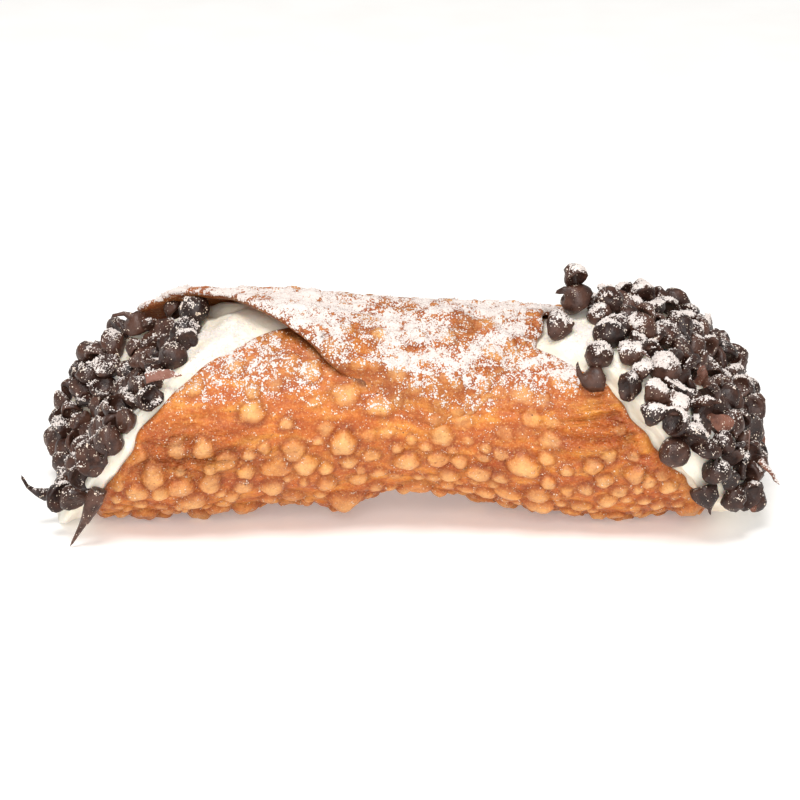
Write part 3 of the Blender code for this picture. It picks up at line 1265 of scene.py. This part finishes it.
OUTLINE = Outline()
TUBE_DEPTH = 1.75 * MM  # how far the cream in the tube lies under the dough's outer side
LEFT_END = DomedEnd(
    side=-1, reach=0.0670, notch=0.0290, notch_angle=176, notch_front=94, notch_back=60,
    swell=0.0, sink=0.0050, dome_out=0.0102, dome_up=-0.0095,
    heap_edge=85, heap_edge_under=54, crest=2.6 * MM,
)
RIGHT_END = DomedEnd(
    side=1, reach=0.0640, notch=0.0250, notch_angle=170, notch_front=86, notch_back=70,
    swell=0.0003, sink=-0.0004, dome_out=0.0158, dome_up=-0.0022,
    heap_edge=88, heap_edge_under=44,
    flatness=1.07, lowest=5.5 * MM, lowest_start=62 * MM, lowest_rise=0.5,
)


@dataclass
class CreamFilling:
    """The filling: it fills the tube and swells out of both openings."""

    segments: int = 160
    dome_rings: int = 30
    band_rings: int = 16
    tube_rings: int = 24
    lump: float = 0.40 * MM
    dimple: float = 0.16 * MM

    def build(self) -> bpy.types.Mesh:
        """Draw a sphere's rings out along the roll, then make its surface uneven.

        Returns:
            The finished mesh.
        """
        rings = 2 * (self.dome_rings + self.band_rings) + self.tube_rings
        shape = bmesh.new()
        bmesh.ops.create_uvsphere(shape, u_segments=self.segments, v_segments=rings, radius=1)
        mesh = to_mesh(shape, "cream")
        ball = positions(mesh)
        ring = np.degrees(np.arccos(np.clip(ball[:, 2], -1, 1))) * rings / 180
        around = np.degrees(np.arctan2(ball[:, 1], ball[:, 0]))
        points = self.surface(np.rint(ring), around, rings)
        points += self.unevenness(points)
        points[:, 2] = np.maximum(LEFT_END.floor, points[:, 2])
        move_vertices(mesh, points)
        face_outwards(mesh)
        return mesh

    def surface(self, ring: Array, angle: Array, rings: int) -> Array:
        """The smooth surface.

        Args:
            ring: the number of the sphere's ring, counted from the left crown.
            angle: the direction round the roll.
            rings: how many there are.

        Returns:
            Positions.
        """
        points = np.zeros((len(ring), 3))
        for end, count in ((LEFT_END, ring), (RIGHT_END, rings - ring)):
            crown = 90 * count / self.dome_rings
            share = (count - self.dome_rings) / self.band_rings
            on_dome = count <= self.dome_rings
            on_band = (count > self.dome_rings) & (share <= 1)
            points[on_dome] = end.dome(crown[on_dome], angle[on_dome])
            points[on_band] = end.band(share[on_band], angle[on_band])
        tube = (ring - self.dome_rings - self.band_rings) / self.tube_rings
        inside = (tube > 0) & (tube < 1)
        left, right = LEFT_END.lip_x(angle), RIGHT_END.lip_x(angle)
        x = between(left, right, tube)[inside]
        radius = ROLL.radius(x) - TUBE_DEPTH
        points[inside] = ROLL.points(x, angle[inside], radius)
        return points

    def unevenness(self, points: Array) -> Array:
        """Soft lumps and small dimples.

        Args:
            points: positions on the smooth surface.

        Returns:
            How far each moves, square to the roll's axis.
        """
        lumps = self.lump * cloud(points, 7 * MM, 31.0)
        lumps = lumps + self.dimple * cloud(points, 2.4 * MM, 33.0, 2)
        middle = points * (1, 0, 0)
        middle[:, 2] = ROLL.axis(points[:, 0])
        shown = ease(30 * MM, 36 * MM, np.abs(points[:, 0]))  # none inside the tube
        return unit(points - middle) * (lumps * shown)[:, None]


# ---- The chocolate drops ----


@dataclass(frozen=True)
class DropShape:
    """A chocolate drop's form, drawn as the outline that is spun round its axis."""

    width: float = 5.2 * MM
    body: float = 2.5 * MM  # height of the domed body above its base's edge
    tip: float = 1.7 * MM
    hollow: float = 0.25 * MM  # how deep the base is hollowed
    bend: float = 0.5  # how far the tip is bent over, in radians
    bend_from: float = 2.8 * MM
    flatten: float = 1.0  # how wide it is one way, as a share of the other
    taper: float = 1.0  # above 1 the body is more of a cone
    pale: bool = False  # a broken piece that shows its inside all over
    cut: tuple[float, float, float] | None = None  # snapped off across this direction
    segments: int = 18
    turns: tuple[float, ...] = (14, 30, 46, 61, 74)  # up the body's side

    def outline(self) -> list[tuple[float, float]]:
        """The line that is spun round the axis.

        Returns:
            (radius, height) of each point, from the middle of the base to the tip.
        """
        half, deep = self.width / 2, self.hollow
        low = 0.22 * half
        points = [(0, deep), (0.4 * half, 0.8 * deep), (0.68 * half, 0.3 * deep)]
        points += [(0.85 * half, 0), (0.96 * half, 0.07 * half), (half, low)]
        for turn in self.turns:
            wide = half * cos(radians(turn)) ** self.taper
            points.append((wide, low + self.body * sin(radians(turn))))
        last, top = points[-1]
        points += [(0.7 * last, top + 0.35 * self.tip), (0.42 * last, top + 0.8 * self.tip)]
        return points + [(0, top + self.tip)]

    def build(self) -> "Template":
        """Spin the outline, bend the tip and snap off what is missing.

        Returns:
            The drop about its middle, with its base down.
        """
        shape = bmesh.new()
        line = [shape.verts.new((radius, 0, height)) for radius, height in self.outline()]
        edges = [shape.edges.new(pair) for pair in zip(line, line[1:])]
        bmesh.ops.spin(
            shape,
            geom=line + edges,
            axis=(0, 0, 1),
            cent=(0, 0, 0),
            steps=self.segments,
            angle=2 * pi,
            use_merge=True,
        )
        bmesh.ops.remove_doubles(shape, verts=shape.verts, dist=1e-6)
        bmesh.ops.recalc_face_normals(shape, faces=shape.faces)
        for vertex in shape.verts:
            vertex.co = self.bent(vertex.co)
        faces = set(shape.faces)
        if self.cut:
            bmesh.ops.bisect_plane(
                shape,
                geom=shape.verts[:] + shape.edges[:] + shape.faces[:],
                plane_co=(0, 0, 0.5 * self.body),
                plane_no=self.cut,
                clear_outer=True,
            )
            open_edges = [edge for edge in shape.edges if edge.is_boundary]
            faces = set(shape.faces)
            bmesh.ops.edgeloop_fill(shape, edges=open_edges, mat_nr=1)
        snapped = [face for face in shape.faces if face not in faces]
        bmesh.ops.recalc_face_normals(shape, faces=shape.faces)
        bmesh.ops.triangulate(shape, faces=[f for f in snapped if f.is_valid])
        if self.pale:
            for face in shape.faces:
                face.material_index = 1
        return Template.of(shape)

    def bent(self, co: Vector) -> Vector:
        """Bend the tip over and flatten the drop.

        Args:
            co: a point of the straight drop.

        Returns:
            The point's place, about the drop's middle.
        """
        past = co.z - self.bend_from
        x, z = co.x, co.z - 0.45 * self.body
        if self.bend and past > 0:
            length = max(1e-6, self.body + self.tip - self.bend_from)
            curve = self.bend / length
            turn = curve * past
            x = co.x * cos(turn) + (1 - cos(turn)) / curve
            z = self.bend_from + sin(turn) / curve - co.x * sin(turn) - 0.45 * self.body
        return Vector((x, co.y * self.flatten, z))


class DropForm(Enum):
    """The forms that the drops and their broken pieces take."""

    PLAIN = DropShape(tip=1.3 * MM, taper=1.2)
    PLUMP = DropShape(width=5.6 * MM, body=2.9 * MM, tip=0.8 * MM, bend=0.3)
    TALL = DropShape(width=4.9 * MM, body=3.1 * MM, tip=1.9 * MM, bend=0.9, taper=1.3)
    SQUAT = DropShape(width=5.8 * MM, body=2.1 * MM, tip=0.8 * MM, hollow=0.5 * MM)
    BENT = DropShape(tip=1.9 * MM, bend=1.5, bend_from=2.4 * MM)
    CURLED = DropShape(
        width=4.9 * MM, body=3.0 * MM, tip=3.9 * MM, bend=1.9, bend_from=2 * MM
    )
    HOLLOW = DropShape(width=5.4 * MM, hollow=1.8 * MM, tip=1.0 * MM)
    CUPPED = DropShape(
        width=5.7 * MM, body=2.7 * MM, hollow=2.1 * MM, tip=1.0 * MM, flatten=0.72
    )
    SNAPPED = DropShape(cut=(0.75, 0.2, 0.55))
    FLAKE = DropShape(width=5.6 * MM, body=1.1 * MM, tip=0.5 * MM, flatten=0.6, bend=0.0)
    CONE = DropShape(width=5.4 * MM, body=4.2 * MM, tip=1.0 * MM, bend=0.2, taper=1.5)
    SPLINTER = DropShape(
        width=1.9 * MM, body=5.2 * MM, tip=2.2 * MM, bend=0.5, bend_from=1 * MM, taper=0.6
    )
    HORN = DropShape(
        width=2.6 * MM, body=5.5 * MM, tip=4.5 * MM, bend=1.5, bend_from=1 * MM, taper=0.6
    )
    SPIKE = DropShape(
        width=3.7 * MM, body=8.0 * MM, tip=6.5 * MM, bend=0.14, bend_from=3 * MM, taper=0.72
    )
    SHARD = DropShape(
        width=1.8 * MM, body=5.8 * MM, tip=1.0 * MM, bend=0.3, flatten=0.55, taper=0.5,
        pale=True,
    )


@dataclass(frozen=True)
class Template:
    """A small mesh to be laid down many times."""

    points: Array
    faces: Faces
    materials: Array  # each face's material index

    @classmethod
    def of(cls, shape: bmesh.types.BMesh) -> "Template":
        """Read a finished bmesh and free it."""
        return cls(*take_apart(shape))


@dataclass(frozen=True)
class Copy:
    """One copy of a template, with its place, turn and size, and a tone of its own."""

    template: Template
    turn: Array  # 3 by 3
    place: Array
    tone: float


def lay_down(name: str, copies: list[Copy]) -> bpy.types.Mesh:
    """Join copies of small meshes into one.

    Args:
        name: the mesh's name.
        copies: what to join.

    Returns:
        The mesh, with each copy's tone as an attribute.
    """
    points, faces, tones, materials, start = [], [], [], [], 0
    for copy in copies:
        points.append(copy.template.points @ copy.turn.T + copy.place)
        faces += [tuple(start + i for i in face) for face in copy.template.faces]
        tones.append(np.full(len(copy.template.points), copy.tone))
        materials.append(copy.template.materials)
        start += len(copy.template.points)
    finish = np.concatenate(materials).astype(np.int32)
    mesh = bpy.data.meshes.new(name)
    mesh.from_pydata(np.vstack(points).tolist(), [], faces)
    mesh.polygons.foreach_set("material_index", finish)
    mesh.polygons.foreach_set("use_smooth", finish == 0)  # where snapped, faces stay flat
    paint(mesh, "tone", np.concatenate(tones))
    return mesh


@dataclass(frozen=True)
class Drop:
    """A listed drop: its form, the place on the dome, the height of its
    middle above the cream in millimetres, and where its tip points."""

    form: DropForm
    crown: float  # degrees from the dome's crown
    angle: float  # the direction round the roll
    height: float = 1.8
    tip: tuple[float, float, float] | None = None
    size: float = 1.0
    bend: tuple[float, float, float] | None = None  # which way the tip is bent over


F = DropForm
LEFT_DROPS = (
    Drop(F.PLUMP, 90, -172, 2.9, (-0.4, -0.3, 0.8), 1.15),
    Drop(F.PLUMP, 78, 165, 2.0, (0.5, -0.8, -0.2), 1.12),
    Drop(F.CURLED, 86, -138, 2.6, (-0.35, -0.2, 0.9), 1.1, (-1, 0, -0.3)),
    Drop(F.SNAPPED, 93, -159, 2.8, (-0.3, -0.6, 0.6), 1.1),
    Drop(F.CUPPED, 93, -148, 2.6, (-0.6, 0.4, 0.5), 1.1),
    Drop(F.HOLLOW, 52, -162, 2.0, (0.5, 0.5, -0.7)),
    Drop(F.PLUMP, 90, 135, 1.9, (-0.5, -0.7, 0.4), 1.05),
    Drop(F.SHARD, 92, 122, 2.9, (0.93, -0.25, 0.27), 1.15),
    Drop(F.CUPPED, 92, 112, 2.0, (-0.6, 0.6, -0.4), 1.1),
    Drop(F.CONE, 84, 93, 2.4, (0.05, -0.35, 0.93), 1.1),
    Drop(F.HORN, 86, 81, 2.2, (0.8, -0.4, 0.4), 0.75, (0, -0.3, 1)),
    Drop(F.SPIKE, 86, 62, 3.2, (-0.40, 0.05, -0.91), 0.94, (-1, 0, 0)),
    Drop(F.HORN, 37, 47, 3.6, (-0.88, -0.3, -0.15), 1.0, (-0.1, 0, 1)),
)
RIGHT_DROPS = (
    Drop(F.BENT, 98.5, 175, 3.4, (-0.62, -0.3, 0.7), 1.32, (-1, 0, -0.1)),
    Drop(F.CUPPED, 98.5, 177, 7.7, (-0.35, 0.75, 0.5), 1.1),
    Drop(F.PLUMP, 102.3, 158.5, 1.9, (0.8, -0.3, 0.2), 1.1),
    Drop(F.PLUMP, 90, 150, 1.9, (-0.2, -0.6, 0.8), 1.15),
    Drop(F.PLAIN, 99, 138, 2.0, (-0.2, -0.8, 0.3), 1.1),
    Drop(F.CURLED, 105.5, 132.5, 2.6, (-0.85, -0.3, -0.05), 1.1, (-0.2, -0.2, 1)),
    Drop(F.TALL, 82, 138, 2.1, (0.7, -0.6, 0.3), 1.1),
    Drop(F.CUPPED, 98, 121, 2.0, (0.7, 0.5, 0.2), 1.15),
    Drop(F.PLUMP, 66, 132, 2.0, (-0.2, -0.85, 0.3), 1.15),
    Drop(F.SPLINTER, 60, 111, 3.6, (0.75, -0.55, 0.35), 1.1),
    Drop(F.HOLLOW, 82, 102, 2.2, (0.6, 0.7, -0.2), 1.12),
    Drop(F.HOLLOW, 14, -141, 2.6, (-0.1, 0.9, -0.35), 0.85),
    Drop(F.SQUAT, 6, -87, 2.6, (-0.1, 0.95, -0.25), 1.05),
    Drop(F.SHARD, 42, 55, 4.4, (0.62, -0.25, -0.74), 0.95),
    Drop(F.PLAIN, 85, 174, 3.4, (0.1, -0.7, 0.6), 1.1),
    Drop(F.PLUMP, 97, 87, 1.9, (-0.3, -0.7, 0.2), 1.1),
    Drop(F.PLAIN, 74, 75, 2.2, (-0.1, -0.5, 0.85), 1.1),
    Drop(F.CONE, 88, 60, 2.0, (0.3, -0.3, -0.9), 1.05),
    Drop(F.PLUMP, 70, 52, 1.9, (0.5, -0.6, -0.4), 1.0),
    Drop(F.SNAPPED, 55, 33, 1.9, (-0.2, -0.6, 0.5), 1.0),
)


@dataclass
class DropHeap:
    """A dome's coat of chocolate drops, pressed into the cream and piled on each other."""

    name: str
    end: DomedEnd
    by_hand: tuple[Drop, ...]
    seed: int
    count: int = 215
    pressed: float = 1.1 * MM  # how far above the cream the lowest drops' middles lie
    highest: float = 2.4 * MM
    step: float = 0.3 * MM  # between the heights that are tried
    tries: int = 18  # how many places each drop tries
    patience: int = 120  # after so many misses in a row the heap is full
    closeness: float = 0.745  # how far the balls of space of two drops may overlap
    scale: float = 1.06
    unlike: float = 0.055  # how much the drops' sizes differ
    uneven: float = 0.09  # and how much each is out of round
    tip_out: float = 0.25  # how far a tip may stand out from the dome
    lump: float = 0.3 * MM
    lump_size: float = 2.1 * MM
    common: tuple[DropForm, ...] = (
        F.PLAIN, F.PLAIN, F.PLAIN, F.PLUMP, F.PLUMP, F.TALL, F.TALL, F.SQUAT, F.SQUAT,
        F.BENT, F.HOLLOW, F.HOLLOW, F.CUPPED, F.CUPPED, F.SNAPPED, F.CONE, F.FLAKE,
    )

    def cells(self) -> tuple[Array, Array, Array]:
        """A net of places over the dome, as far as the drops reach.

        Returns:
            Positions on the cream, outward normals, and the area round each.
        """
        crown, angle = np.meshgrid(np.arange(2.0, 100, 1.6), np.arange(-180.0, 180, 2.5))
        crown, angle = crown.ravel(), angle.ravel()
        points = self.end.dome(crown, angle)
        down = self.end.dome(crown + 0.8, angle) - self.end.dome(crown - 0.8, angle)
        round_ = self.end.dome(crown, angle + 1.2) - self.end.dome(crown, angle - 1.2)
        square = np.cross(down, round_)
        flip = np.sign(np.sum(square * (points - self.end.heart), axis=1, keepdims=True))
        apart = np.abs((angle + 180) % 360 - 180)
        sooner = self.end.heap_edge_under * bell(apart, 0, self.end.underside)
        edge = self.end.heap_edge - sooner + 5 * cloud(points, 9 * MM, self.seed + 0.5) + 4
        kept = crown < edge
        area = np.linalg.norm(square, axis=1)
        return points[kept], unit(square * flip)[kept], area[kept]

    def spot(self, drop: Drop) -> tuple[Array, Array]:
        """Where a listed drop goes.

        Args:
            drop: the drop.

        Returns:
            Its middle, and the cream's normal under it.
        """
        crown, angle = np.float64(drop.crown), np.float64(drop.angle)
        here = self.end.dome(crown, angle)
        down = self.end.dome(crown - 1.5, angle) - here
        around = self.end.dome(crown, angle + 2) - here
        normal = unit(np.cross(down, around))
        normal = normal * np.sign(np.dot(normal, here - self.end.heart))
        return here + normal * drop.height * MM, normal

    def pile_up(self) -> list[Copy]:
        """Lay the listed drops first, then let the others fall where there is room.

        Returns:
            The drops.
        """
        rng = np.random.default_rng(self.seed)
        made = {form: form.value.build() for form in DropForm}
        copies, middles, sizes = [], [], []
        for drop in self.by_hand:
            place, normal = self.spot(drop)
            tip = np.array(drop.tip) if drop.tip else normal
            turn = self.turned(tip, drop.bend or rng.normal(size=3)) * drop.size
            copies.append(Copy(made[drop.form], turn, place, rng.uniform()))
            middles.append(place)
            sizes.append(self.room(drop.form) * drop.size)
        points, out, area = self.cells()
        chances = area / area.sum()
        heights = np.arange(self.pressed, self.highest + 0.1 * MM, self.step)
        missed = 0
        while len(copies) < self.count and missed < self.patience:
            form = self.common[rng.integers(len(self.common))]
            size = rng.normal(self.scale, self.unlike)
            room = self.room(form) * size
            tried = rng.choice(len(points), self.tries, p=chances)
            spots = points[tried][:, None] + out[tried][:, None] * heights[None, :, None]
            gaps = np.linalg.norm(spots[:, :, None] - np.array(middles), axis=-1)
            free = np.all(gaps > self.closeness * (room + np.array(sizes)), axis=-1)
            free &= spots[:, :, 2] > self.end.lowest_at(spots[:, :, 0])
            first = np.where(free.any(axis=1), free.argmax(axis=1), len(heights))
            best = int(np.argmin(first))
            if first[best] == len(heights):
                missed += 1
                continue
            missed = 0
            place = spots[best, first[best]]
            lean = unit(rng.normal(size=3))
            outward = np.dot(lean, out[tried[best]])
            tip = unit(lean - out[tried[best]] * max(0.0, outward - self.tip_out))
            turn = self.turned(tip, rng.normal(size=3))
            turn = turn @ np.diag(rng.normal(size, self.uneven, 3))
            copies.append(Copy(made[form], turn, place, rng.uniform()))
            middles.append(place)
            sizes.append(room)
        return copies

    def room(self, form: DropForm) -> float:
        """The radius of the ball of space that a drop takes up."""
        shape = form.value
        return min(shape.width / 2, (shape.width + shape.body) / 3.2)

    def turned(self, tip: Array, bend: Array) -> Array:
        """Turn an upright drop.

        Args:
            tip: where its tip is to point.
            bend: which way the tip is to be bent over.

        Returns:
            The turn, 3 by 3.
        """
        up = unit(np.array(tip, float))
        side = unit(np.cross(up, bend))
        return np.stack((np.cross(side, up), side, up), axis=1)

    def build(self) -> bpy.types.Mesh:
        """Join the drops and make each a little uneven.

        Returns:
            The finished mesh.
        """
        mesh = lay_down(self.name, self.pile_up())
        points = positions(mesh)
        for axis in range(3):
            points[:, axis] += self.lump * cloud(points, self.lump_size, 40.0 + axis, 2)
        points[:, 2] = np.maximum(self.end.floor, points[:, 2])
        move_vertices(mesh, points)
        return mesh


# ---- The icing sugar ----


@dataclass
class Dusting:
    """Icing sugar shaken over the cannoli from above, after it was filled and dipped."""

    seed: int = 5
    directions: int = 3
    spread: float = 0.35  # how far from straight down the grains fall
    size: tuple[float, float] = (0.08 * MM, 0.2 * MM)
    crumb: float = 0.85 * MM
    in_crumb: int = 22  # the most grains in a crumb
    crumb_flat: float = 0.7  # how much flatter than wide a crumb is
    gathering: float = 2.2  # above 1 the grains keep to where most sugar lies
    bottom: float = -0.2  # the lowest slope that it clings to
    clearance: float = 0.15 * MM  # where the search for the open sky starts
    reach: float = 60 * MM  # and how far it goes
    roll_slope: float = 0.72  # how far the dough's slope is the roll's, not a blister's
    slopes: tuple[float, ...] = (-0.2, 0.05, 0.34, 0.6, 0.87, 1.0)  # 1 is level
    held: tuple[float, ...] = (0, 0.02, 0.22, 0.42, 0.64, 0.78)  # the amount on each
    patch: float = 9 * MM
    small_patch: float = 3.2 * MM
    patchy: float = 0.6
    left_end: float = 0.75  # how much falls on the cream and the drops there
    right_end: float = 0.55  # how much more falls on them round right_x
    right_x: float = 46 * MM
    right_width: float = 14 * MM
    tree: BVHTree | None = None

    def gather(self, pieces: list[bpy.types.Object]) -> None:
        """Take in every surface that can keep the sugar off another.

        Args:
            pieces: the pieces.
        """
        points, faces = [], []
        start = 0
        for piece in pieces:
            points += positions(piece.data).tolist()
            faces += [[start + i for i in face.vertices] for face in piece.data.polygons]
            start = len(points)
        self.tree = BVHTree.FromPolygons(points, faces)

    def open_sky(self, mesh: bpy.types.Mesh) -> Array:
        """How open to the falling grains each vertex lies.

        Args:
            mesh: the piece's mesh.

        Returns:
            The share of the grains that reach it.
        """
        rng = np.random.default_rng(self.seed)
        points, out = positions(mesh), normals(mesh)
        seen = np.zeros(len(points))
        upward = np.flatnonzero(out[:, 2] > self.bottom)
        starts = points + out * self.clearance
        for _ in range(self.directions):
            tilt = rng.normal(size=2) * self.spread
            towards = Vector((tilt[0], tilt[1], 1)).normalized()
            for i in upward:
                hit = self.tree.ray_cast(Vector(starts[i]), towards, self.reach)[0]
                seen[i] += hit is None
        return seen / self.directions

    def settle(
        self, piece: bpy.types.Object, most: float, clump: float, rolled: bool = False
    ) -> Array:
        """Work out how much sugar lies at each vertex and store it.

        Args:
            piece: the piece to dust.
            most: the amount where it lies thickest, up to 1.
            clump: how much the amount varies from place to place.
            rolled: whether the piece is the dough.

        Returns:
            The amounts.
        """
        mesh = piece.data
        points, up = positions(mesh), normals(mesh)[:, 2]
        if rolled:
            core = np.stack((points[:, 0], 0 * up, ROLL.axis(points[:, 0])), axis=1)
            up = between(up, unit(points - core)[:, 2], self.roll_slope)
        amount = np.interp(up, self.slopes, self.held)
        patches = cloud(points, self.small_patch, 51.0, 2) * self.patchy
        patches = patches + cloud(points, self.patch, 53.0) * self.patchy
        amount = amount * self.open_sky(mesh) * most
        amount = amount * (1 + clump * patches)
        if rolled:
            amount = amount * self.drift(points)
        else:
            more = self.right_end * bell(points[:, 0], self.right_x, self.right_width)
            amount = amount * (self.left_end + more)
        amount = np.clip(amount, 0, 1)
        paint(mesh, "sugar", amount)
        return amount

    def drift(self, points: Array) -> Array:
        """Where more or less sugar fell on the dough.

        Args:
            points: positions on the dough.

        Returns:
            A factor for each.
        """
        x = points[:, 0]
        rise = (points[:, 2] - ROLL.axis(x)) / ROLL.radius(x)
        factor = 1.0
        # How much more falls, its place and width along the roll, and how high up.
        for more, middle, width, level in (
            (0.1, 22, 9, ease(0.6, 0.8, rise)),  # the ridge
            (0.5, -46, 13, ease(0.7, 0.9, rise)),  # the curled corner
            (0.4, 7, 12, bell(rise, 0.45, 0.3)),  # the middle of the front
            (4.2, 5, 11, bell(rise, 0.2, 0.17)),  # what spilt over the tongue's end
            (0.5, 31, 6, bell(rise, 0.62, 0.14)),  # the right shoulder
            (-0.85, 41, 17, ease(0.6, 0.42, rise)),  # bare on the right
            (-0.4, -48, 9, ease(0.6, 0.4, rise)),  # and on the left
        ):
            factor = factor + more * bell(x, middle * MM, width * MM) * level
        low = 0.9 * bell(x, 6 * MM, 13 * MM) * ease(-0.15, 0.15, rise)
        return factor * np.maximum(low, ease(0.0, 0.45, rise))

    def strew(
        self, name: str, settled: list[tuple[bpy.types.Object, Array, int]], clump: float
    ) -> bpy.types.Mesh:
        """Loose grains that lie on the pieces, singly or stuck together in crumbs.

        Args:
            name: the mesh's name.
            settled: each piece, its amounts, and how many grains or crumbs it gets.
            clump: the radius of a crumb, or 0 for single grains.

        Returns:
            The grains as one mesh.
        """
        rng = np.random.default_rng(self.seed + 1)
        shape = bmesh.new()
        bmesh.ops.create_icosphere(shape, subdivisions=1, radius=1)
        grain = Template.of(shape)
        copies = []
        for piece, amount, count in settled:
            mesh = piece.data
            mesh.calc_loop_triangles()
            corners = np.empty(len(mesh.loop_triangles) * 3, np.int32)
            mesh.loop_triangles.foreach_get("vertices", corners)
            corners = corners.reshape(-1, 3)
            points, out = positions(mesh), normals(mesh)
            a, b, c = (points[corners[:, i]] for i in range(3))
            area = np.linalg.norm(np.cross(b - a, c - a), axis=1)
            chances = area * amount[corners].mean(axis=1) ** self.gathering
            chosen = rng.choice(len(corners), count, p=chances / chances.sum())
            shares = rng.dirichlet((1, 1, 1), count)
            places = np.einsum("ni,nij->nj", shares, points[corners[chosen]])
            outward = unit(np.einsum("ni,nij->nj", shares, out[corners[chosen]]))
            depth = amount[corners[chosen]].mean(axis=1)
            for place, away, tone in zip(places, outward, depth):
                reach = clump * rng.uniform(0.4, 1.0)
                more = int(rng.uniform(0.5, 1.0) * self.in_crumb * (clump > 0))
                for _ in range(1 + more):
                    step = rng.normal(size=3) * reach / 2
                    step = step - away * np.dot(step, away) * self.crumb_flat
                    size = rng.uniform(*self.size)
                    spot = place + step + away * size * 0.3
                    copies.append(Copy(grain, self.lumpy(rng, size), spot, float(tone)))
        mesh = lay_down(name, copies)
        low = positions(mesh)
        low[:, 2] = np.maximum(0.02 * MM, low[:, 2])
        move_vertices(mesh, low)
        return mesh

    def lumpy(self, rng: np.random.Generator, size: float) -> Array:
        """A random turn and an uneven size for one grain.

        Args:
            rng: the random numbers.
            size: the grain's mean radius.

        Returns:
            Both, as 3 by 3 numbers.
        """
        turn, _ = np.linalg.qr(rng.normal(size=(3, 3)))
        turn = turn * np.sign(np.linalg.det(turn))
        return turn * (rng.uniform(0.55, 1.2, 3) * size)


# ---- The studio ----


Lamp = tuple[str, tuple[float, float, float], float, float]


@dataclass(frozen=True)
class Studio:
    """A pale table top, soft light from above and from the front, and the camera."""

    distance: float = 0.62
    elevation: float = 20.0
    aim_height: float = 0.02305
    field_width: float = 0.16
    sensor: float = 36.0
    lamps: tuple[Lamp, ...] = (
        ("key", (-0.12, -0.4, 1.1), 0.45, 9.5),
        ("fill", (-0.02, -1.0, 0.5), 0.7, 6.2),
    )
    sky: float = 0.45
    sky_colour: Colour = (1.0, 0.99, 0.97, 1.0)
    table: str = "f8f7f5"
    table_shade: str = "f4f2ef"
    table_half: float = 3.0
    mottle: float = 25 * MM
    roughness: float = 0.8
    glow: float = 0.2  # keeps the far end of the table top white
    white: Colour = (1.0, 1.0, 1.0, 1.0)

    def build(self) -> None:
        """Set up the whole studio."""
        self.lay_table()
        self.light_world()
        for lamp in self.lamps:
            self.light(*lamp)
        self.set_camera()
        bpy.context.scene.view_settings.view_transform = "Standard"

    def lay_table(self) -> None:
        """The table top, which isn't part of the cannoli."""
        shape = bmesh.new()
        bmesh.ops.create_grid(shape, x_segments=2, y_segments=2, size=self.table_half)
        mesh = to_mesh(shape, "table_top")
        material, shader, node = new_material("matt_white_laminate")
        place = node("TexCoord", out="Object")
        mottle = node("TexNoise", {"Vector": place, "Scale": 1 / self.mottle})
        colour = node("ValToRGB", {0: mottle}, [(0.3, self.table_shade), (0.7, self.table)])
        set_inputs(shader, {"Base Color": colour, "Roughness": self.roughness})
        set_inputs(shader, {"Emission Color": self.white, "Emission Strength": self.glow})
        mesh.materials.append(material)
        table = bpy.data.objects.new("table_top", mesh)
        bpy.context.scene.collection.objects.link(table)

    def light_world(self) -> None:
        """Even white light from all round."""
        world = bpy.data.worlds.new("studio")
        world.use_nodes = True
        background = world.node_tree.nodes["Background"]
        set_inputs(background, {"Color": self.sky_colour, "Strength": self.sky})
        bpy.context.scene.world = world

    def light(
        self, name: str, place: tuple[float, float, float], size: float, power: float
    ) -> None:
        """One soft lamp, turned towards the cannoli.

        Args:
            name: the lamp's name.
            place: where it hangs.
            size: the side of its square panel.
            power: in watts.
        """
        data = bpy.data.lights.new(name, "AREA")
        data.size, data.energy = size, power
        lamp = bpy.data.objects.new(name, data)
        lamp.location = place
        lamp.rotation_euler = (-Vector(place)).to_track_quat("-Z", "Y").to_euler()
        bpy.context.scene.collection.objects.link(lamp)

    def set_camera(self) -> None:
        """The camera, in front of the roll and a little above it."""
        data = bpy.data.cameras.new("camera")
        data.sensor_width = self.sensor
        data.lens = self.sensor * self.distance / self.field_width
        camera = bpy.data.objects.new("camera", data)
        turn = radians(self.elevation)
        back = Vector((0, -cos(turn), sin(turn)))
        camera.location = Vector((0, 0, self.aim_height)) + back * self.distance
        camera.rotation_euler = (radians(90 - self.elevation), 0, 0)
        bpy.context.scene.collection.objects.link(camera)
        bpy.context.scene.camera = camera


def main() -> None:
    """Build the cannoli, dust it with sugar, and set up the studio."""
    logging.basicConfig(level=logging.INFO, format="%(message)s")
    sugar = IcingSugar()
    snapped = Chocolate(
        "snapped_chocolate", dark="5a3426", middle="7a4c3a", bloom="93675a", roughness=0.6
    )
    drops = [Chocolate().make(sugar), snapped.make(sugar)]
    dough, ricotta = [FriedDough().make(sugar)], [Ricotta().make(sugar)]
    shell = add_piece(DoughSheet().build(), dough, "shell")
    cream = add_piece(CreamFilling().build(), ricotta, "cream")
    left = DropHeap("chips_left", LEFT_END, LEFT_DROPS, 11)
    right = DropHeap("chips_right", RIGHT_END, RIGHT_DROPS, 23)
    heaps = [add_piece(heap.build(), drops, heap.name) for heap in (left, right)]
    dusting = Dusting()
    dusting.gather([shell, cream, *heaps])
    on_shell = dusting.settle(shell, most=0.84, clump=0.9, rolled=True)
    on_cream = dusting.settle(cream, most=0.8, clump=0.5)
    on_drops = [
        dusting.settle(heap, most, clump=1.6) for heap, most in zip(heaps, (0.66, 0.8))
    ]
    dusted = list(zip((shell, cream, *heaps), (on_shell, on_cream, *on_drops)))
    powder = sugar.make()
    for name, counts, crumb in (
        ("sugar_grains", (4000, 500, 2000, 2300), 0.0),
        ("sugar_crumbs", (330, 20, 90, 130), dusting.crumb),
    ):
        settled = [(piece, amount, count) for (piece, amount), count in zip(dusted, counts)]
        add_piece(dusting.strew(name, settled, crumb), [powder])
    Studio().build()


if __name__ == "__main__":
    main()
